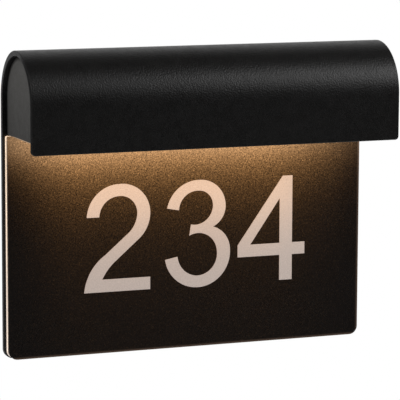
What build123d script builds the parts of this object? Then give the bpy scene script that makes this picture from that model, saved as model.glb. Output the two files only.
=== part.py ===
from build123d import *
from math import pi, radians, tan
import os

os.makedirs("parts", exist_ok=True)

# An illuminated house number sign for a wall: an aluminium profile folded over into a
# half-round hood, a light guide and a black number plate on its back plate, lamps in the
# hood. Frame: X along the sign, Y into the wall, Z up. The wall is the plane Y = 0, so a
# depth of 20 mm in front of it is Y = -20. The origin is the centre of the two wall
# screws, level with the centre of the hood's curve.

# ---- driving dimensions, mm ----

sign_width = 260.0        # cut length of the profile
hood_depth = 68.0         # wall to the front of the hood
profile_wall = 3.5        # thickness of the profile
lip_drop = 31.0           # centre of the hood's curve down to the lip's edge
plate_drop = 176.0        # centre of the hood's curve down to the sign's lower edge
closed_drop = 24.5        # centre of the hood's curve down to the underside of the tray
plate_corner = 6.5        # lower corners of the back plate
lip_corner = 2.5          # lower corners of the lip
edge_break = 0.3          # deburred cut ends of the profile

cap_recess = 3.0          # caps set back from the cut ends
cap_thick = 2.0
cap_rim = 6.0             # depth of the cap's inner rim

layer_inset = 1.75        # light guide and number plate, in from the ends
film_thick = 0.3
guide_thick = 4.5
plate_thick = 1.2
digit_rise = 0.5          # the digits stand proud of the number plate
layer_corner = 6.0

bracket_sheet = 2.0
bracket_half = 82.0       # half the length between the bracket's arms, outside
bracket_height = 22.0
arm_reach = 52.0          # wall to the tips of the arms
screw_spacing = 120.0     # the two slots for the wall screws
slot_width = 5.0
slot_length = 12.0
cable_hole = 16.0
cable_diameter = 8.0

tray_sheet = 1.5
carrier_sheet = 2.0
board_thick = 1.6
carrier_half = 118.0      # half the length of the LED carrier
shelf_grip = 1.9          # how far screws reach into the shelf from above

digit_height = 73.4
digit_base = -133.8       # foot of the digits

snug = 0.1                # gap round a piece that is fitted into another

screw_core = 1.25         # radius of the small screws, drawn at the core of their thread
core_hole = 1.3           # hole that takes their thread
clear_hole = 1.6          # hole that they pass through
sunk_head = 2.6           # radius of their countersunk heads
wide_core = 1.5           # the same for the two screws of the LED carrier
wide_hole = 1.55
wide_head = 3.1
screw_point = 0.4         # chamfer at a screw's tip

# ---- places worked out from them ----

half_width = sign_width / 2
hood_radius = hood_depth / 2
inner_radius = hood_radius - profile_wall
inner_front = hood_depth - profile_wall          # depth of the lip's inner face

cap_outside = half_width - cap_recess
cap_inside = cap_outside - cap_thick

film_back = profile_wall
guide_back = film_back + film_thick
number_back = guide_back + guide_thick
plate_front = number_back + plate_thick
layer_half = half_width - layer_inset
layer_top = -closed_drop - 0.8                    # full-width part of the layers

tray_top = -closed_drop + tray_sheet
carrier_top = -10.0
carrier_under = carrier_top - carrier_sheet
board_under = carrier_under - board_thick

standoff_x = (-110.0, 0.0, 110.0)
standoff_z = (-48.0, -160.0)
standoffs = [(x, z) for x in standoff_x for z in standoff_z]

clamp_x = 90.0
clamp_depth = 46.0
clamps = [(-clamp_x, -clamp_depth), (clamp_x, -clamp_depth)]


def facing_wall(x, z, depth=0.0):
    """A place on a plane parallel to the wall, whose normal points into the wall."""
    return Plane((x, -depth, z), x_dir=(1, 0, 0), z_dir=(0, 1, 0)).location


def facing_down(x, depth, z):
    """A place on a level plane whose normal points down."""
    return Plane((x, -depth, z), x_dir=(1, 0, 0), z_dir=(0, 0, -1)).location


def facing_up(x, depth, z):
    """A place on a level plane whose normal points up."""
    return Location((x, -depth, z))


def countersunk_screw(shank, head, length, socket):
    """A flat-headed screw with its head's top on the level plane and its point below."""
    with BuildPart() as screw:
        with BuildSketch(Plane.XZ):
            with BuildLine():
                Polyline(
                    (0, 0), (head, 0), (shank, shank - head), (shank, screw_point - length),
                    (shank - screw_point, -length), (0, -length), close=True,
                )
            make_face()
        revolve(axis=Axis.Z)
        with BuildSketch(Plane.XY):
            RegularPolygon(socket, 6)
        extrude(amount=-0.45 * head, mode=Mode.SUBTRACT)
    return screw.part


def pan_screw(shank, head, head_height, length, socket):
    """A round-headed screw that stands on the level plane with its point below."""
    flat_top = (0.45 * head, head_height)
    round_side = (0.85 * head, 0.72 * head_height)
    straight_side = (head, 0.15 * head_height)
    with BuildPart() as screw:
        with BuildSketch(Plane.XZ):
            with BuildLine():
                Line((0, head_height), flat_top)
                ThreePointArc(flat_top, round_side, straight_side)
                Polyline(
                    straight_side, (head, 0), (shank, 0), (shank, screw_point - length),
                    (shank - screw_point, -length), (0, -length), (0, head_height),
                )
            make_face()
        revolve(axis=Axis.Z)
        with BuildSketch(Plane.XY.offset(head_height)):
            RegularPolygon(socket, 6)
        extrude(amount=-0.55 * head_height, mode=Mode.SUBTRACT)
    return screw.part


def arc_radii(points):
    """The largest tangent arcs that the runs of a route leave room for."""
    route = [Vector(*point) for point in points]
    radii = []
    for before, corner, after in zip(route, route[1:], route[2:]):
        arriving = corner - before
        leaving = after - corner
        turn = arriving.get_angle(leaving)
        shorter = min(arriving.length, leaving.length)
        radii.append(0.45 * shorter / tan(radians(turn) / 2))
    return radii


def insulated_wire(points, diameter):
    """A wire of straight runs joined by tangent arcs."""
    radii = arc_radii(points)
    with BuildPart() as wire:
        with BuildLine():
            route = FilletPolyline(*points, radius=radii)
        start = Plane(origin=route @ 0, z_dir=route % 0)
        with BuildSketch(start):
            Circle(diameter / 2)
        sweep()
    section = pi * diameter**2 / 4
    print(
        "wire length", round(route.length, 1), "radii", [round(radius, 1) for radius in radii],
        "volume over section times length", round(wire.part.volume / (section * route.length), 4),
    )
    return wire.part


# ---- the profile: back plate, half-round hood and lip in one section ----

with BuildPart() as body_shell:
    with BuildSketch(Plane.YZ):
        with BuildLine():
            Line((0, -plate_drop), (0, 0))
            ThreePointArc((0, 0), (-hood_radius, hood_radius), (-hood_depth, 0))
            Polyline(
                (-hood_depth, 0), (-hood_depth, -lip_drop), (-inner_front, -lip_drop),
                (-inner_front, 0),
            )
            ThreePointArc((-inner_front, 0), (-hood_radius, inner_radius), (-profile_wall, 0))
            Polyline((-profile_wall, 0), (-profile_wall, -plate_drop), (0, -plate_drop))
        make_face()
    extrude(amount=half_width, both=True)
    lip_edges = body_shell.edges().filter_by(Axis.Y).group_by(Axis.Z)[1]
    fillet(lip_edges, radius=lip_corner)
    plate_edges = body_shell.edges().filter_by(Axis.Y).group_by(Axis.Z)[0]
    fillet(plate_edges, radius=plate_corner)
    cut_ends = body_shell.faces().sort_by(Axis.X)
    chamfer(cut_ends[0].edges() + cut_ends[-1].edges(), length=edge_break)

    # window behind the hood, for the wall bracket
    window_half = 102.0
    window_height = 26.0
    window_corner = 3.0
    window_reach = 12.0       # through the back wall and the foot of the hood's curve
    with BuildSketch(Plane.XZ):
        RectangleRounded(2 * window_half, window_height, window_corner)
    extrude(amount=window_reach, mode=Mode.SUBTRACT)

    # countersunk holes from the back, for the plate, carrier and cap screws
    drill_depth = profile_wall + 1
    with Locations(*[facing_wall(x, z) for x, z in standoffs]):
        CounterSinkHole(clear_hole, sunk_head + snug, depth=drill_depth, counter_sink_angle=90)
    carrier_screw_x = 111.0
    carrier_screw_z = -5.5
    with Locations(*[facing_wall(side * carrier_screw_x, carrier_screw_z) for side in (-1, 1)]):
        CounterSinkHole(wide_core + 0.25, wide_head + snug, depth=drill_depth, counter_sink_angle=90)
    cap_screw_x = 122.0
    cap_screw_z = -4.5
    with Locations(*[facing_wall(side * cap_screw_x, cap_screw_z) for side in (-1, 1)]):
        CounterSinkHole(clear_hole, sunk_head + snug, depth=drill_depth, counter_sink_angle=90)

body_shell.part.label = "body_shell"
export_step(body_shell.part, "parts/body_shell.step")

# ---- end caps: half-round plates with a rim and two screw bosses inside the hood ----

cap_radius = inner_radius - snug
cap_back = profile_wall + snug
cap_front = inner_front - snug
rim_thick = 1.5
rim_drop = 9.0
cap_edge_break = 0.25
boss_half = 3.2
boss_floor = 1.0          # left closed at the end of each screw hole
back_boss_reach = 9.0
back_boss_height = 7.0
tray_boss_height = 10.0
tray_boss_width = 8.0

tray_boss_x = 122.0
tray_boss_depth = 52.0

with BuildPart() as end_cap_right:
    with BuildSketch(Plane.YZ.offset(cap_inside)):
        with BuildLine():
            ThreePointArc((-cap_back, 0), (-hood_radius, cap_radius), (-cap_front, 0))
            Polyline(
                (-cap_front, 0), (-cap_front, -closed_drop), (-cap_back, -closed_drop),
                (-cap_back, 0),
            )
        make_face()
    extrude(amount=cap_thick)
    outer_face = end_cap_right.faces().sort_by(Axis.X)[-1]
    chamfer(outer_face.edges(), length=cap_edge_break)

    # rim round the curve
    with BuildSketch(Plane.YZ.offset(cap_inside)):
        with BuildLine():
            ThreePointArc((-cap_back, 0), (-hood_radius, cap_radius), (-cap_front, 0))
            Polyline(
                (-cap_front, 0), (-cap_front, -rim_drop), (-cap_front + rim_thick, -rim_drop),
                (-cap_front + rim_thick, 0),
            )
            ThreePointArc(
                (-cap_front + rim_thick, 0), (-hood_radius, cap_radius - rim_thick),
                (-cap_back - rim_thick, 0),
            )
            Polyline(
                (-cap_back - rim_thick, 0), (-cap_back - rim_thick, -rim_drop),
                (-cap_back, -rim_drop), (-cap_back, 0),
            )
        make_face()
    extrude(amount=-cap_rim)

    # boss for the screw from behind
    with BuildSketch(Plane.XZ.offset(cap_back)):
        with Locations(((cap_screw_x - boss_half + cap_inside) / 2, cap_screw_z)):
            Rectangle(cap_inside - cap_screw_x + boss_half, back_boss_height)
    extrude(amount=back_boss_reach)
    with BuildSketch(Plane.XZ.offset(cap_back)):
        with Locations((cap_screw_x, cap_screw_z)):
            Circle(core_hole)
    extrude(amount=back_boss_reach - boss_floor, mode=Mode.SUBTRACT)

    # boss for the tray's screw from below
    with BuildSketch(Plane.XY.offset(tray_top)):
        with Locations(((tray_boss_x - boss_half + cap_inside) / 2, -tray_boss_depth)):
            Rectangle(cap_inside - tray_boss_x + boss_half, tray_boss_width)
    extrude(amount=tray_boss_height)
    with BuildSketch(Plane.XY.offset(tray_top)):
        with Locations((tray_boss_x, -tray_boss_depth)):
            Circle(core_hole)
    extrude(amount=tray_boss_height - boss_floor, mode=Mode.SUBTRACT)

end_cap_right.part.label = "end_cap_right"
export_step(end_cap_right.part, "parts/end_cap_right.step")

with BuildPart() as end_cap_left:
    mirror(end_cap_right.part, about=Plane.YZ)

end_cap_left.part.label = "end_cap_left"
export_step(end_cap_left.part, "parts/end_cap_left.step")

cap_screw = countersunk_screw(shank=screw_core, head=sunk_head, length=9.5, socket=1.0)
with BuildPart() as cap_screws:
    with Locations(*[facing_wall(side * cap_screw_x, cap_screw_z) for side in (-1, 1)]):
        add(cap_screw)

cap_screws.part.label = "cap_screws"
export_step(cap_screws.part, "parts/cap_screws.step")

# ---- layers on the back plate: reflecting film and light guide, and what holds them ----

tab_half = carrier_half
guide_tab_top = board_under - 1.6                 # leaves room for the LEDs
plate_tab_half = cap_inside - 1.0
plate_tab_top = -17.0
standoff_radius = 2.5
standoff_room = 0.4       # round each standoff, in the light guide
film_room = 1.5           # round each standoff, in the film
film_margin = 0.6         # film in from the light guide's edges
shoulder_round = 1.0      # upper corners of the light guide

with BuildPart() as reflector_film:
    with BuildSketch(Plane.XZ.offset(film_back)):
        with Locations((0, (layer_top - plate_drop) / 2)):
            RectangleRounded(
                2 * (layer_half - film_margin), layer_top + plate_drop - 2 * film_margin,
                layer_corner - film_margin,
            )
        with Locations(*standoffs):
            Circle(standoff_radius + film_room, mode=Mode.SUBTRACT)
    extrude(amount=film_thick)

reflector_film.part.label = "reflector_film"
export_step(reflector_film.part, "parts/reflector_film.step")

with BuildPart() as light_guide:
    with BuildSketch(Plane.XZ.offset(guide_back)) as guide_outline:
        with BuildLine():
            Polyline(
                (-layer_half, -plate_drop), (layer_half, -plate_drop), (layer_half, layer_top),
                (tab_half, layer_top), (tab_half, guide_tab_top), (-tab_half, guide_tab_top),
                (-tab_half, layer_top), (-layer_half, layer_top), close=True,
            )
        make_face()
        fillet(guide_outline.vertices().group_by(Axis.Y)[0], radius=layer_corner)
        for end in (0, -1):
            shoulder = guide_outline.vertices().group_by(Axis.X)[end].sort_by(Axis.Y)[-1:]
            fillet(shoulder, radius=shoulder_round)
        with Locations(*standoffs):
            Circle(standoff_radius + standoff_room, mode=Mode.SUBTRACT)
    extrude(amount=guide_thick)

light_guide.part.label = "light_guide"
export_step(light_guide.part, "parts/light_guide.step")

standoff_foot = profile_wall + 0.2
with BuildPart() as plate_standoffs:
    with BuildSketch(Plane.XZ.offset(standoff_foot)):
        with Locations(*standoffs):
            Circle(standoff_radius)
            Circle(core_hole, mode=Mode.SUBTRACT)
    extrude(amount=number_back - standoff_foot)

plate_standoffs.part.label = "plate_standoffs"
export_step(plate_standoffs.part, "parts/plate_standoffs.step")

plate_screw_length = number_back - 0.6
plate_screw = countersunk_screw(
    shank=screw_core, head=sunk_head, length=plate_screw_length, socket=1.0,
)
with BuildPart() as plate_screws:
    with Locations(*[facing_wall(x, z) for x, z in standoffs]):
        add(plate_screw)

plate_screws.part.label = "plate_screws"
export_step(plate_screws.part, "parts/plate_screws.step")

# ---- digits: plain numerals of opal acrylic that fill their cut-outs in the number plate ----

# each is drawn in place along X, with its foot at height 0
digit_plane = Plane.XZ.offset(number_back)
digit_plane.origin = digit_plane.origin + Vector(0, 0, digit_base)

with BuildSketch(digit_plane) as outline_2:
    with BuildLine():
        Line((-73.2, 51.4), (-64.4, 51.4))
        ThreePointArc((-64.4, 51.4), (-60.2, 61.0), (-50.4, 65.2))
        ThreePointArc((-50.4, 65.2), (-40.7, 61.7), (-37.0, 53.0))
        ThreePointArc((-37.0, 53.0), (-38.7, 45.8), (-44.2, 38.8))
        Line((-44.2, 38.8), (-60.0, 25.4))
        ThreePointArc((-60.0, 25.4), (-70.6, 14.2), (-75.2, 0))
        Polyline((-75.2, 0), (-27.8, 0), (-27.8, 8.6), (-62.4, 8.6))
        ThreePointArc((-62.4, 8.6), (-58.5, 14.9), (-53.0, 20.7))
        Line((-53.0, 20.7), (-37.0, 34.4))
        ThreePointArc((-37.0, 34.4), (-30.3, 42.5), (-27.8, 52.4))
        ThreePointArc((-27.8, 52.4), (-34.0, 67.6), (-49.8, digit_height))
        ThreePointArc((-49.8, digit_height), (-66.4, 66.6), (-73.2, 51.4))
    make_face()

with BuildSketch(digit_plane) as outline_3:
    with BuildLine():
        Line((-15.4, 54.8), (-6.9, 53.2))
        ThreePointArc((-6.9, 53.2), (-2.4, 62.7), (7.2, 66.1))
        ThreePointArc((7.2, 66.1), (15.1, 63.0), (18.2, 55.6))
        ThreePointArc((18.2, 55.6), (12.7, 45.0), (2.0, 42.9))
        Line((2.0, 42.9), (0.8, 35.3))
        ThreePointArc((0.8, 35.3), (15.8, 33.8), (21.2, 23.4))
        ThreePointArc((21.2, 23.4), (16.8, 11.2), (5.8, 7.2))
        ThreePointArc((5.8, 7.2), (-4.0, 12.3), (-7.9, 21.1))
        Line((-7.9, 21.1), (-16.9, 19.4))
        ThreePointArc((-16.9, 19.4), (-9.2, 5.2), (6.4, -0.9))
        ThreePointArc((6.4, -0.9), (24.0, 6.2), (30.8, 23.8))
        ThreePointArc((30.8, 23.8), (27.0, 34.8), (18.2, 40.7))
        ThreePointArc((18.2, 40.7), (24.9, 46.4), (27.4, 55.0))
        ThreePointArc((27.4, 55.0), (22.0, 67.9), (8.2, digit_height))
        ThreePointArc((8.2, digit_height), (-7.9, 67.7), (-15.4, 54.8))
    make_face()

stem_left = 67.9
stem_right = 77.3
bar_left = 36.6
bar_right = 86.8
bar_floor = 18.0
bar_top = 26.4
stem_foot = 0.3
with BuildSketch(digit_plane) as outline_4:
    with BuildLine():
        Polyline(
            (70.1, digit_height), (stem_right, digit_height), (stem_right, bar_top),
            (bar_right, bar_top), (bar_right, bar_floor), (stem_right, bar_floor),
            (stem_right, stem_foot), (stem_left, stem_foot), (stem_left, bar_floor),
            (bar_left, bar_floor), (bar_left, bar_top), close=True,
        )
    make_face()

with BuildSketch(digit_plane) as centre_of_4:
    with BuildLine():
        Polyline((stem_left, 58.0), (45.9, bar_top), (stem_left, bar_top), close=True)
    make_face()

digit_depth = plate_thick + digit_rise

with BuildPart() as digit_2:
    extrude(outline_2.sketch, amount=digit_depth)

digit_2.part.label = "digit_2"
export_step(digit_2.part, "parts/digit_2.step")

with BuildPart() as digit_3:
    extrude(outline_3.sketch, amount=digit_depth)

digit_3.part.label = "digit_3"
export_step(digit_3.part, "parts/digit_3.step")

with BuildPart() as digit_4:
    extrude(outline_4.sketch, amount=digit_depth)
    extrude(centre_of_4.sketch, amount=digit_depth, mode=Mode.SUBTRACT)

digit_4.part.label = "digit_4"
export_step(digit_4.part, "parts/digit_4.step")

# the black centre of the 4, cut from the same sheet as the number plate
with BuildPart() as digit_4_centre:
    extrude(centre_of_4.sketch, amount=plate_thick)

digit_4_centre.part.label = "digit_4_centre"
export_step(digit_4_centre.part, "parts/digit_4_centre.step")

# ---- number plate: thin black sheet with a cut-out for each digit ----

with BuildPart() as number_plate:
    with BuildSketch(Plane.XZ.offset(number_back)) as plate_outline:
        with BuildLine():
            Polyline(
                (-layer_half, -plate_drop), (layer_half, -plate_drop), (layer_half, layer_top),
                (plate_tab_half, layer_top), (plate_tab_half, plate_tab_top),
                (-plate_tab_half, plate_tab_top), (-plate_tab_half, layer_top),
                (-layer_half, layer_top), close=True,
            )
        make_face()
        fillet(plate_outline.vertices().group_by(Axis.Y)[0], radius=layer_corner)
    extrude(amount=plate_thick)
    for outline in (outline_2, outline_3, outline_4):
        extrude(outline.sketch, amount=plate_thick, mode=Mode.SUBTRACT)
    extrude(centre_of_4.sketch, amount=plate_thick, mode=Mode.SUBTRACT)

number_plate.part.label = "number_plate"
export_step(number_plate.part, "parts/number_plate.step")

# ---- gear tray: folded sheet that closes the hood from below ----

tray_gap = 0.2
tray_half = cap_inside - tray_gap
tray_back = plate_front + 1.5                     # room for the seal strip
tray_front = inner_front - tray_gap
tray_back_rise = -14.0
tray_front_rise = -13.0
tray_bend = 1.2
flange_half = carrier_half                        # the rising flanges clear the caps' bosses

lens_half = 111.8
lens_back = 16.2
lens_front = 37.8
lens_centre = (lens_back + lens_front) / 2
lens_deep = lens_front - lens_back
lens_corner = 2.0
lens_gap = 0.2
access_radius = 4.5

foot_depth = 58.5
foot_screw_x = (-104.0, -35.0, 35.0, 104.0)

with BuildPart() as gear_tray:
    with BuildSketch(Plane.YZ):
        with BuildLine():
            Polyline(
                (-tray_back, tray_back_rise), (-tray_back, -closed_drop),
                (-tray_front, -closed_drop), (-tray_front, tray_front_rise),
                (-tray_front + tray_sheet, tray_front_rise), (-tray_front + tray_sheet, tray_top),
                (-tray_back - tray_sheet, tray_top), (-tray_back - tray_sheet, tray_back_rise),
                close=True,
            )
        make_face()
    extrude(amount=tray_half, both=True)
    fillet(gear_tray.edges().filter_by(Axis.X).group_by(Axis.Z)[0], radius=tray_bend)

    # the rising flanges stop short of the tray's ends
    with BuildSketch(Plane.XY.offset(tray_top)):
        for side in (-1, 1):
            with Locations((side * (flange_half + tray_half) / 2, -(tray_back + tray_front) / 2)):
                Rectangle(tray_half - flange_half, tray_front - tray_back)
    extrude(amount=tray_front_rise - tray_top, mode=Mode.SUBTRACT)

    # window for the diffuser
    with BuildSketch(Plane.XY.offset(-closed_drop)):
        with Locations((0, -lens_centre)):
            RectangleRounded(
                2 * (lens_half + lens_gap), lens_deep + 2 * lens_gap, lens_corner + lens_gap,
            )
    extrude(amount=tray_sheet, mode=Mode.SUBTRACT)

    # holes: access to the clamp screws, screws into the carrier's foot and the caps' bosses
    with Locations(*[facing_up(x, -y, tray_top) for x, y in clamps]):
        Hole(access_radius, depth=tray_sheet)
    with Locations(*[facing_up(x, foot_depth, tray_top) for x in foot_screw_x]):
        Hole(clear_hole, depth=tray_sheet)
    with Locations(*[facing_up(side * tray_boss_x, tray_boss_depth, tray_top) for side in (-1, 1)]):
        Hole(clear_hole, depth=tray_sheet)

gear_tray.part.label = "gear_tray"
export_step(gear_tray.part, "parts/gear_tray.step")

tray_screw = pan_screw(shank=screw_core, head=2.8, head_height=1.8, length=7.0, socket=1.2)
tray_screw_places = [(x, foot_depth) for x in foot_screw_x]
tray_screw_places += [(side * tray_boss_x, tray_boss_depth) for side in (-1, 1)]
with BuildPart() as tray_screws:
    with Locations(*[facing_down(x, depth, -closed_drop) for x, depth in tray_screw_places]):
        add(tray_screw)

tray_screws.part.label = "tray_screws"
export_step(tray_screws.part, "parts/tray_screws.step")

plug_gap = 0.05
plug_lip = 1.8
plug_head = 1.2
plug_rise = 0.8
plug_round = 0.6
with BuildPart() as access_plugs:
    with BuildSketch(Plane.XY.offset(-closed_drop)):
        with Locations(*clamps):
            Circle(access_radius - plug_gap)
    extrude(amount=tray_sheet + plug_rise)
    with BuildSketch(Plane.XY.offset(-closed_drop)):
        with Locations(*clamps):
            Circle(access_radius + plug_lip)
    extrude(amount=-plug_head)
    fillet(access_plugs.edges().group_by(Axis.Z)[0], radius=plug_round)

access_plugs.part.label = "access_plugs"
export_step(access_plugs.part, "parts/access_plugs.step")

# closed-cell strip between the number plate and the tray
seal_foot = -closed_drop + 1.5
seal_top = plate_tab_top - 0.2
with BuildPart() as seal_strip:
    with BuildSketch(Plane.XZ.offset(plate_front)):
        with Locations((0, (seal_foot + seal_top) / 2)):
            Rectangle(2 * flange_half, seal_top - seal_foot)
    extrude(amount=tray_back - plate_front)

seal_strip.part.label = "seal_strip"
export_step(seal_strip.part, "parts/seal_strip.step")

# ---- diffuser: opal lens that drops into the tray's window on a silicone frame ----

lens_flange = 2.6
lens_flange_corner = 4.0
lens_flange_thick = 1.5
lens_edge_round = 0.5
gasket_thick = 0.5

with BuildPart() as diffuser_gasket:
    with BuildSketch(Plane.XY.offset(tray_top)):
        with Locations((0, -lens_centre)):
            RectangleRounded(
                2 * (lens_half + lens_flange), lens_deep + 2 * lens_flange, lens_flange_corner,
            )
            RectangleRounded(
                2 * (lens_half + lens_gap), lens_deep + 2 * lens_gap, lens_corner + lens_gap,
                mode=Mode.SUBTRACT,
            )
    extrude(amount=gasket_thick)

diffuser_gasket.part.label = "diffuser_gasket"
export_step(diffuser_gasket.part, "parts/diffuser_gasket.step")

with BuildPart() as diffuser:
    with BuildSketch(Plane.XY.offset(-closed_drop)):
        with Locations((0, -lens_centre)):
            RectangleRounded(2 * lens_half, lens_deep, lens_corner)
    extrude(amount=tray_sheet + gasket_thick)
    with BuildSketch(Plane.XY.offset(tray_top + gasket_thick)):
        with Locations((0, -lens_centre)):
            RectangleRounded(
                2 * (lens_half + lens_flange), lens_deep + 2 * lens_flange, lens_flange_corner,
            )
    extrude(amount=lens_flange_thick)
    fillet(diffuser.edges().group_by(Axis.Z)[0], radius=lens_edge_round)

diffuser.part.label = "diffuser"
export_step(diffuser.part, "parts/diffuser.step")

# ---- LED carrier: folded sheet, level shelf above the LED board, foot on the tray ----

shelf_back = profile_wall + snug
web_depth = 52.0                       # back face of the carrier's upright
foot_front = 62.6
ear_inner = 104.0                      # ears against the back plate, beside the window
ear_rise = -1.0

connector_x = 71.5
connector_depth = 27.0
connector_size = (9.0, 12.0)
connector_room = 1.0

driver_screw_x = (-10.0, 60.0)
driver_screw_depth = 29.0
terminal_x = -42.0
terminal_depth = 28.0
earth_x = -71.0
earth_depth = 30.0
anchor_x = -19.0
anchor_depth = 12.0
anchor_screw_offset = 6.0
board_screw_x = (-108.0, -36.0, 36.0, 108.0)
board_screw_depth = 16.0
clamp_hole = 2.2

with BuildPart() as led_carrier:
    with BuildSketch(Plane.YZ):
        with BuildLine():
            Polyline(
                (-shelf_back, carrier_top), (-web_depth - carrier_sheet, carrier_top),
                (-web_depth - carrier_sheet, tray_top + carrier_sheet),
                (-foot_front, tray_top + carrier_sheet), (-foot_front, tray_top),
                (-web_depth, tray_top), (-web_depth, carrier_under),
                (-shelf_back, carrier_under), close=True,
            )
        make_face()
    extrude(amount=carrier_half, both=True)
    outer_bend = led_carrier.edges().filter_by(Axis.X).group_by(Axis.Z)[-1].sort_by(Axis.Y)[0:1]
    fillet(outer_bend, radius=carrier_sheet)

    # ears that are screwed from behind, through the back plate
    with BuildSketch(Plane.XZ.offset(shelf_back)):
        for side in (-1, 1):
            with Locations((side * (ear_inner + carrier_half) / 2, (carrier_top + ear_rise) / 2)):
                Rectangle(carrier_half - ear_inner, ear_rise - carrier_top)
    extrude(amount=carrier_sheet)
    with BuildSketch(Plane.XZ.offset(shelf_back)):
        with Locations((-carrier_screw_x, carrier_screw_z), (carrier_screw_x, carrier_screw_z)):
            Circle(wide_hole)
    extrude(amount=carrier_sheet, mode=Mode.SUBTRACT)

    # notch for the board's connector
    with BuildSketch(Plane.XY.offset(carrier_top)):
        with Locations((connector_x, -connector_depth)):
            Rectangle(connector_size[0] + 2 * connector_room, connector_size[1] + 2 * connector_room)
    extrude(amount=-carrier_sheet, mode=Mode.SUBTRACT)

    # holes for the clamp screws, the foot's screws and what stands on the shelf
    with Locations(*[facing_up(x, -y, carrier_top) for x, y in clamps]):
        Hole(clamp_hole, depth=carrier_sheet)
    with Locations(*[facing_up(x, foot_depth, tray_top + carrier_sheet) for x in foot_screw_x]):
        Hole(core_hole, depth=carrier_sheet)
    small_holes = [(x, driver_screw_depth) for x in driver_screw_x]
    small_holes += [(terminal_x, terminal_depth), (earth_x, earth_depth)]
    small_holes += [(anchor_x, anchor_depth + side * anchor_screw_offset) for side in (-1, 1)]
    small_holes += [(x, board_screw_depth) for x in board_screw_x]
    with Locations(*[facing_up(x, depth, carrier_top) for x, depth in small_holes]):
        Hole(core_hole, depth=carrier_sheet)

led_carrier.part.label = "led_carrier"
export_step(led_carrier.part, "parts/led_carrier.step")

carrier_screw = countersunk_screw(shank=wide_core, head=wide_head, length=8.0, socket=1.2)
with BuildPart() as carrier_screws:
    with Locations(*[facing_wall(side * carrier_screw_x, carrier_screw_z) for side in (-1, 1)]):
        add(carrier_screw)

carrier_screws.part.label = "carrier_screws"
export_step(carrier_screws.part, "parts/carrier_screws.step")

# ---- LED board: one row over the light guide's top edge, one over the diffuser ----

board_half = 116.0
board_back = 4.2
board_front = 34.0
led_size = (3.5, 2.8)
led_thick = 0.8
led_pitch = 12.0
led_count = 19
guide_row = guide_back + guide_thick / 2
down_row = lens_centre

with BuildPart() as led_board:
    with BuildSketch(Plane.XY.offset(board_under)):
        with Locations((0, -(board_back + board_front) / 2)):
            Rectangle(2 * board_half, board_front - board_back)
        with Locations(*[(x, -board_screw_depth) for x in board_screw_x]):
            Circle(clear_hole, mode=Mode.SUBTRACT)
    extrude(amount=board_thick)

led_board.part.label = "led_board"
export_step(led_board.part, "parts/led_board.step")

with BuildPart() as guide_leds:
    with BuildSketch(Plane.XY.offset(board_under)):
        with Locations((0, -guide_row)):
            with GridLocations(led_pitch, 1, led_count, 1):
                Rectangle(*led_size)
    extrude(amount=-led_thick)

guide_leds.part.label = "guide_leds"
export_step(guide_leds.part, "parts/guide_leds.step")

with BuildPart() as downlight_leds:
    with BuildSketch(Plane.XY.offset(board_under)):
        with Locations((0, -down_row)):
            with GridLocations(led_pitch, 1, led_count, 1):
                Rectangle(*led_size)
    extrude(amount=-led_thick)

downlight_leds.part.label = "downlight_leds"
export_step(downlight_leds.part, "parts/downlight_leds.step")

board_screw = pan_screw(shank=screw_core, head=2.6, head_height=1.6, length=3.4, socket=1.1)
with BuildPart() as board_screws:
    with Locations(*[facing_down(x, board_screw_depth, board_under) for x in board_screw_x]):
        add(board_screw)

board_screws.part.label = "board_screws"
export_step(board_screws.part, "parts/board_screws.step")

connector_height = 5.0
connector_round = 0.4
socket_depth = 3.5
wire_room = 0.1           # round each wire where it goes through or into something
led_wire = 1.7
led_wire_x = (connector_x - 2.0, connector_x + 2.0)
led_wire_depth = (24.5, 29.5)
with BuildPart() as led_connector:
    with BuildSketch(Plane.XY.offset(carrier_under)):
        with Locations((connector_x, -connector_depth)):
            Rectangle(*connector_size)
    extrude(amount=connector_height)
    fillet(led_connector.edges().group_by(Axis.Z)[-1], radius=connector_round)
    with BuildSketch(Plane.XY.offset(carrier_under + connector_height)):
        with Locations(*[(x, -depth) for x, depth in zip(led_wire_x, led_wire_depth)]):
            Circle(led_wire / 2 + wire_room)
    extrude(amount=-socket_depth, mode=Mode.SUBTRACT)

led_connector.part.label = "led_connector"
export_step(led_connector.part, "parts/led_connector.step")

# ---- driver: small case with a lid and a circuit board ----

case_left = -6.0
case_right = 56.0
case_back = 14.0
case_front = 44.0
case_height = 20.0
case_wall = 1.5
case_corner = 2.0
ear_length = 8.0
ear_width = 12.0
ear_thick = 3.0
case_x = (case_left + case_right) / 2
case_depth = (case_back + case_front) / 2
case_long = case_right - case_left
case_wide = case_front - case_back
lid_thick = 1.5
mains_wire = 2.2
mains_wire_depth = (25.0, 33.0)
mains_wire_z = 0.0
led_wire_z = 3.0

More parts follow.
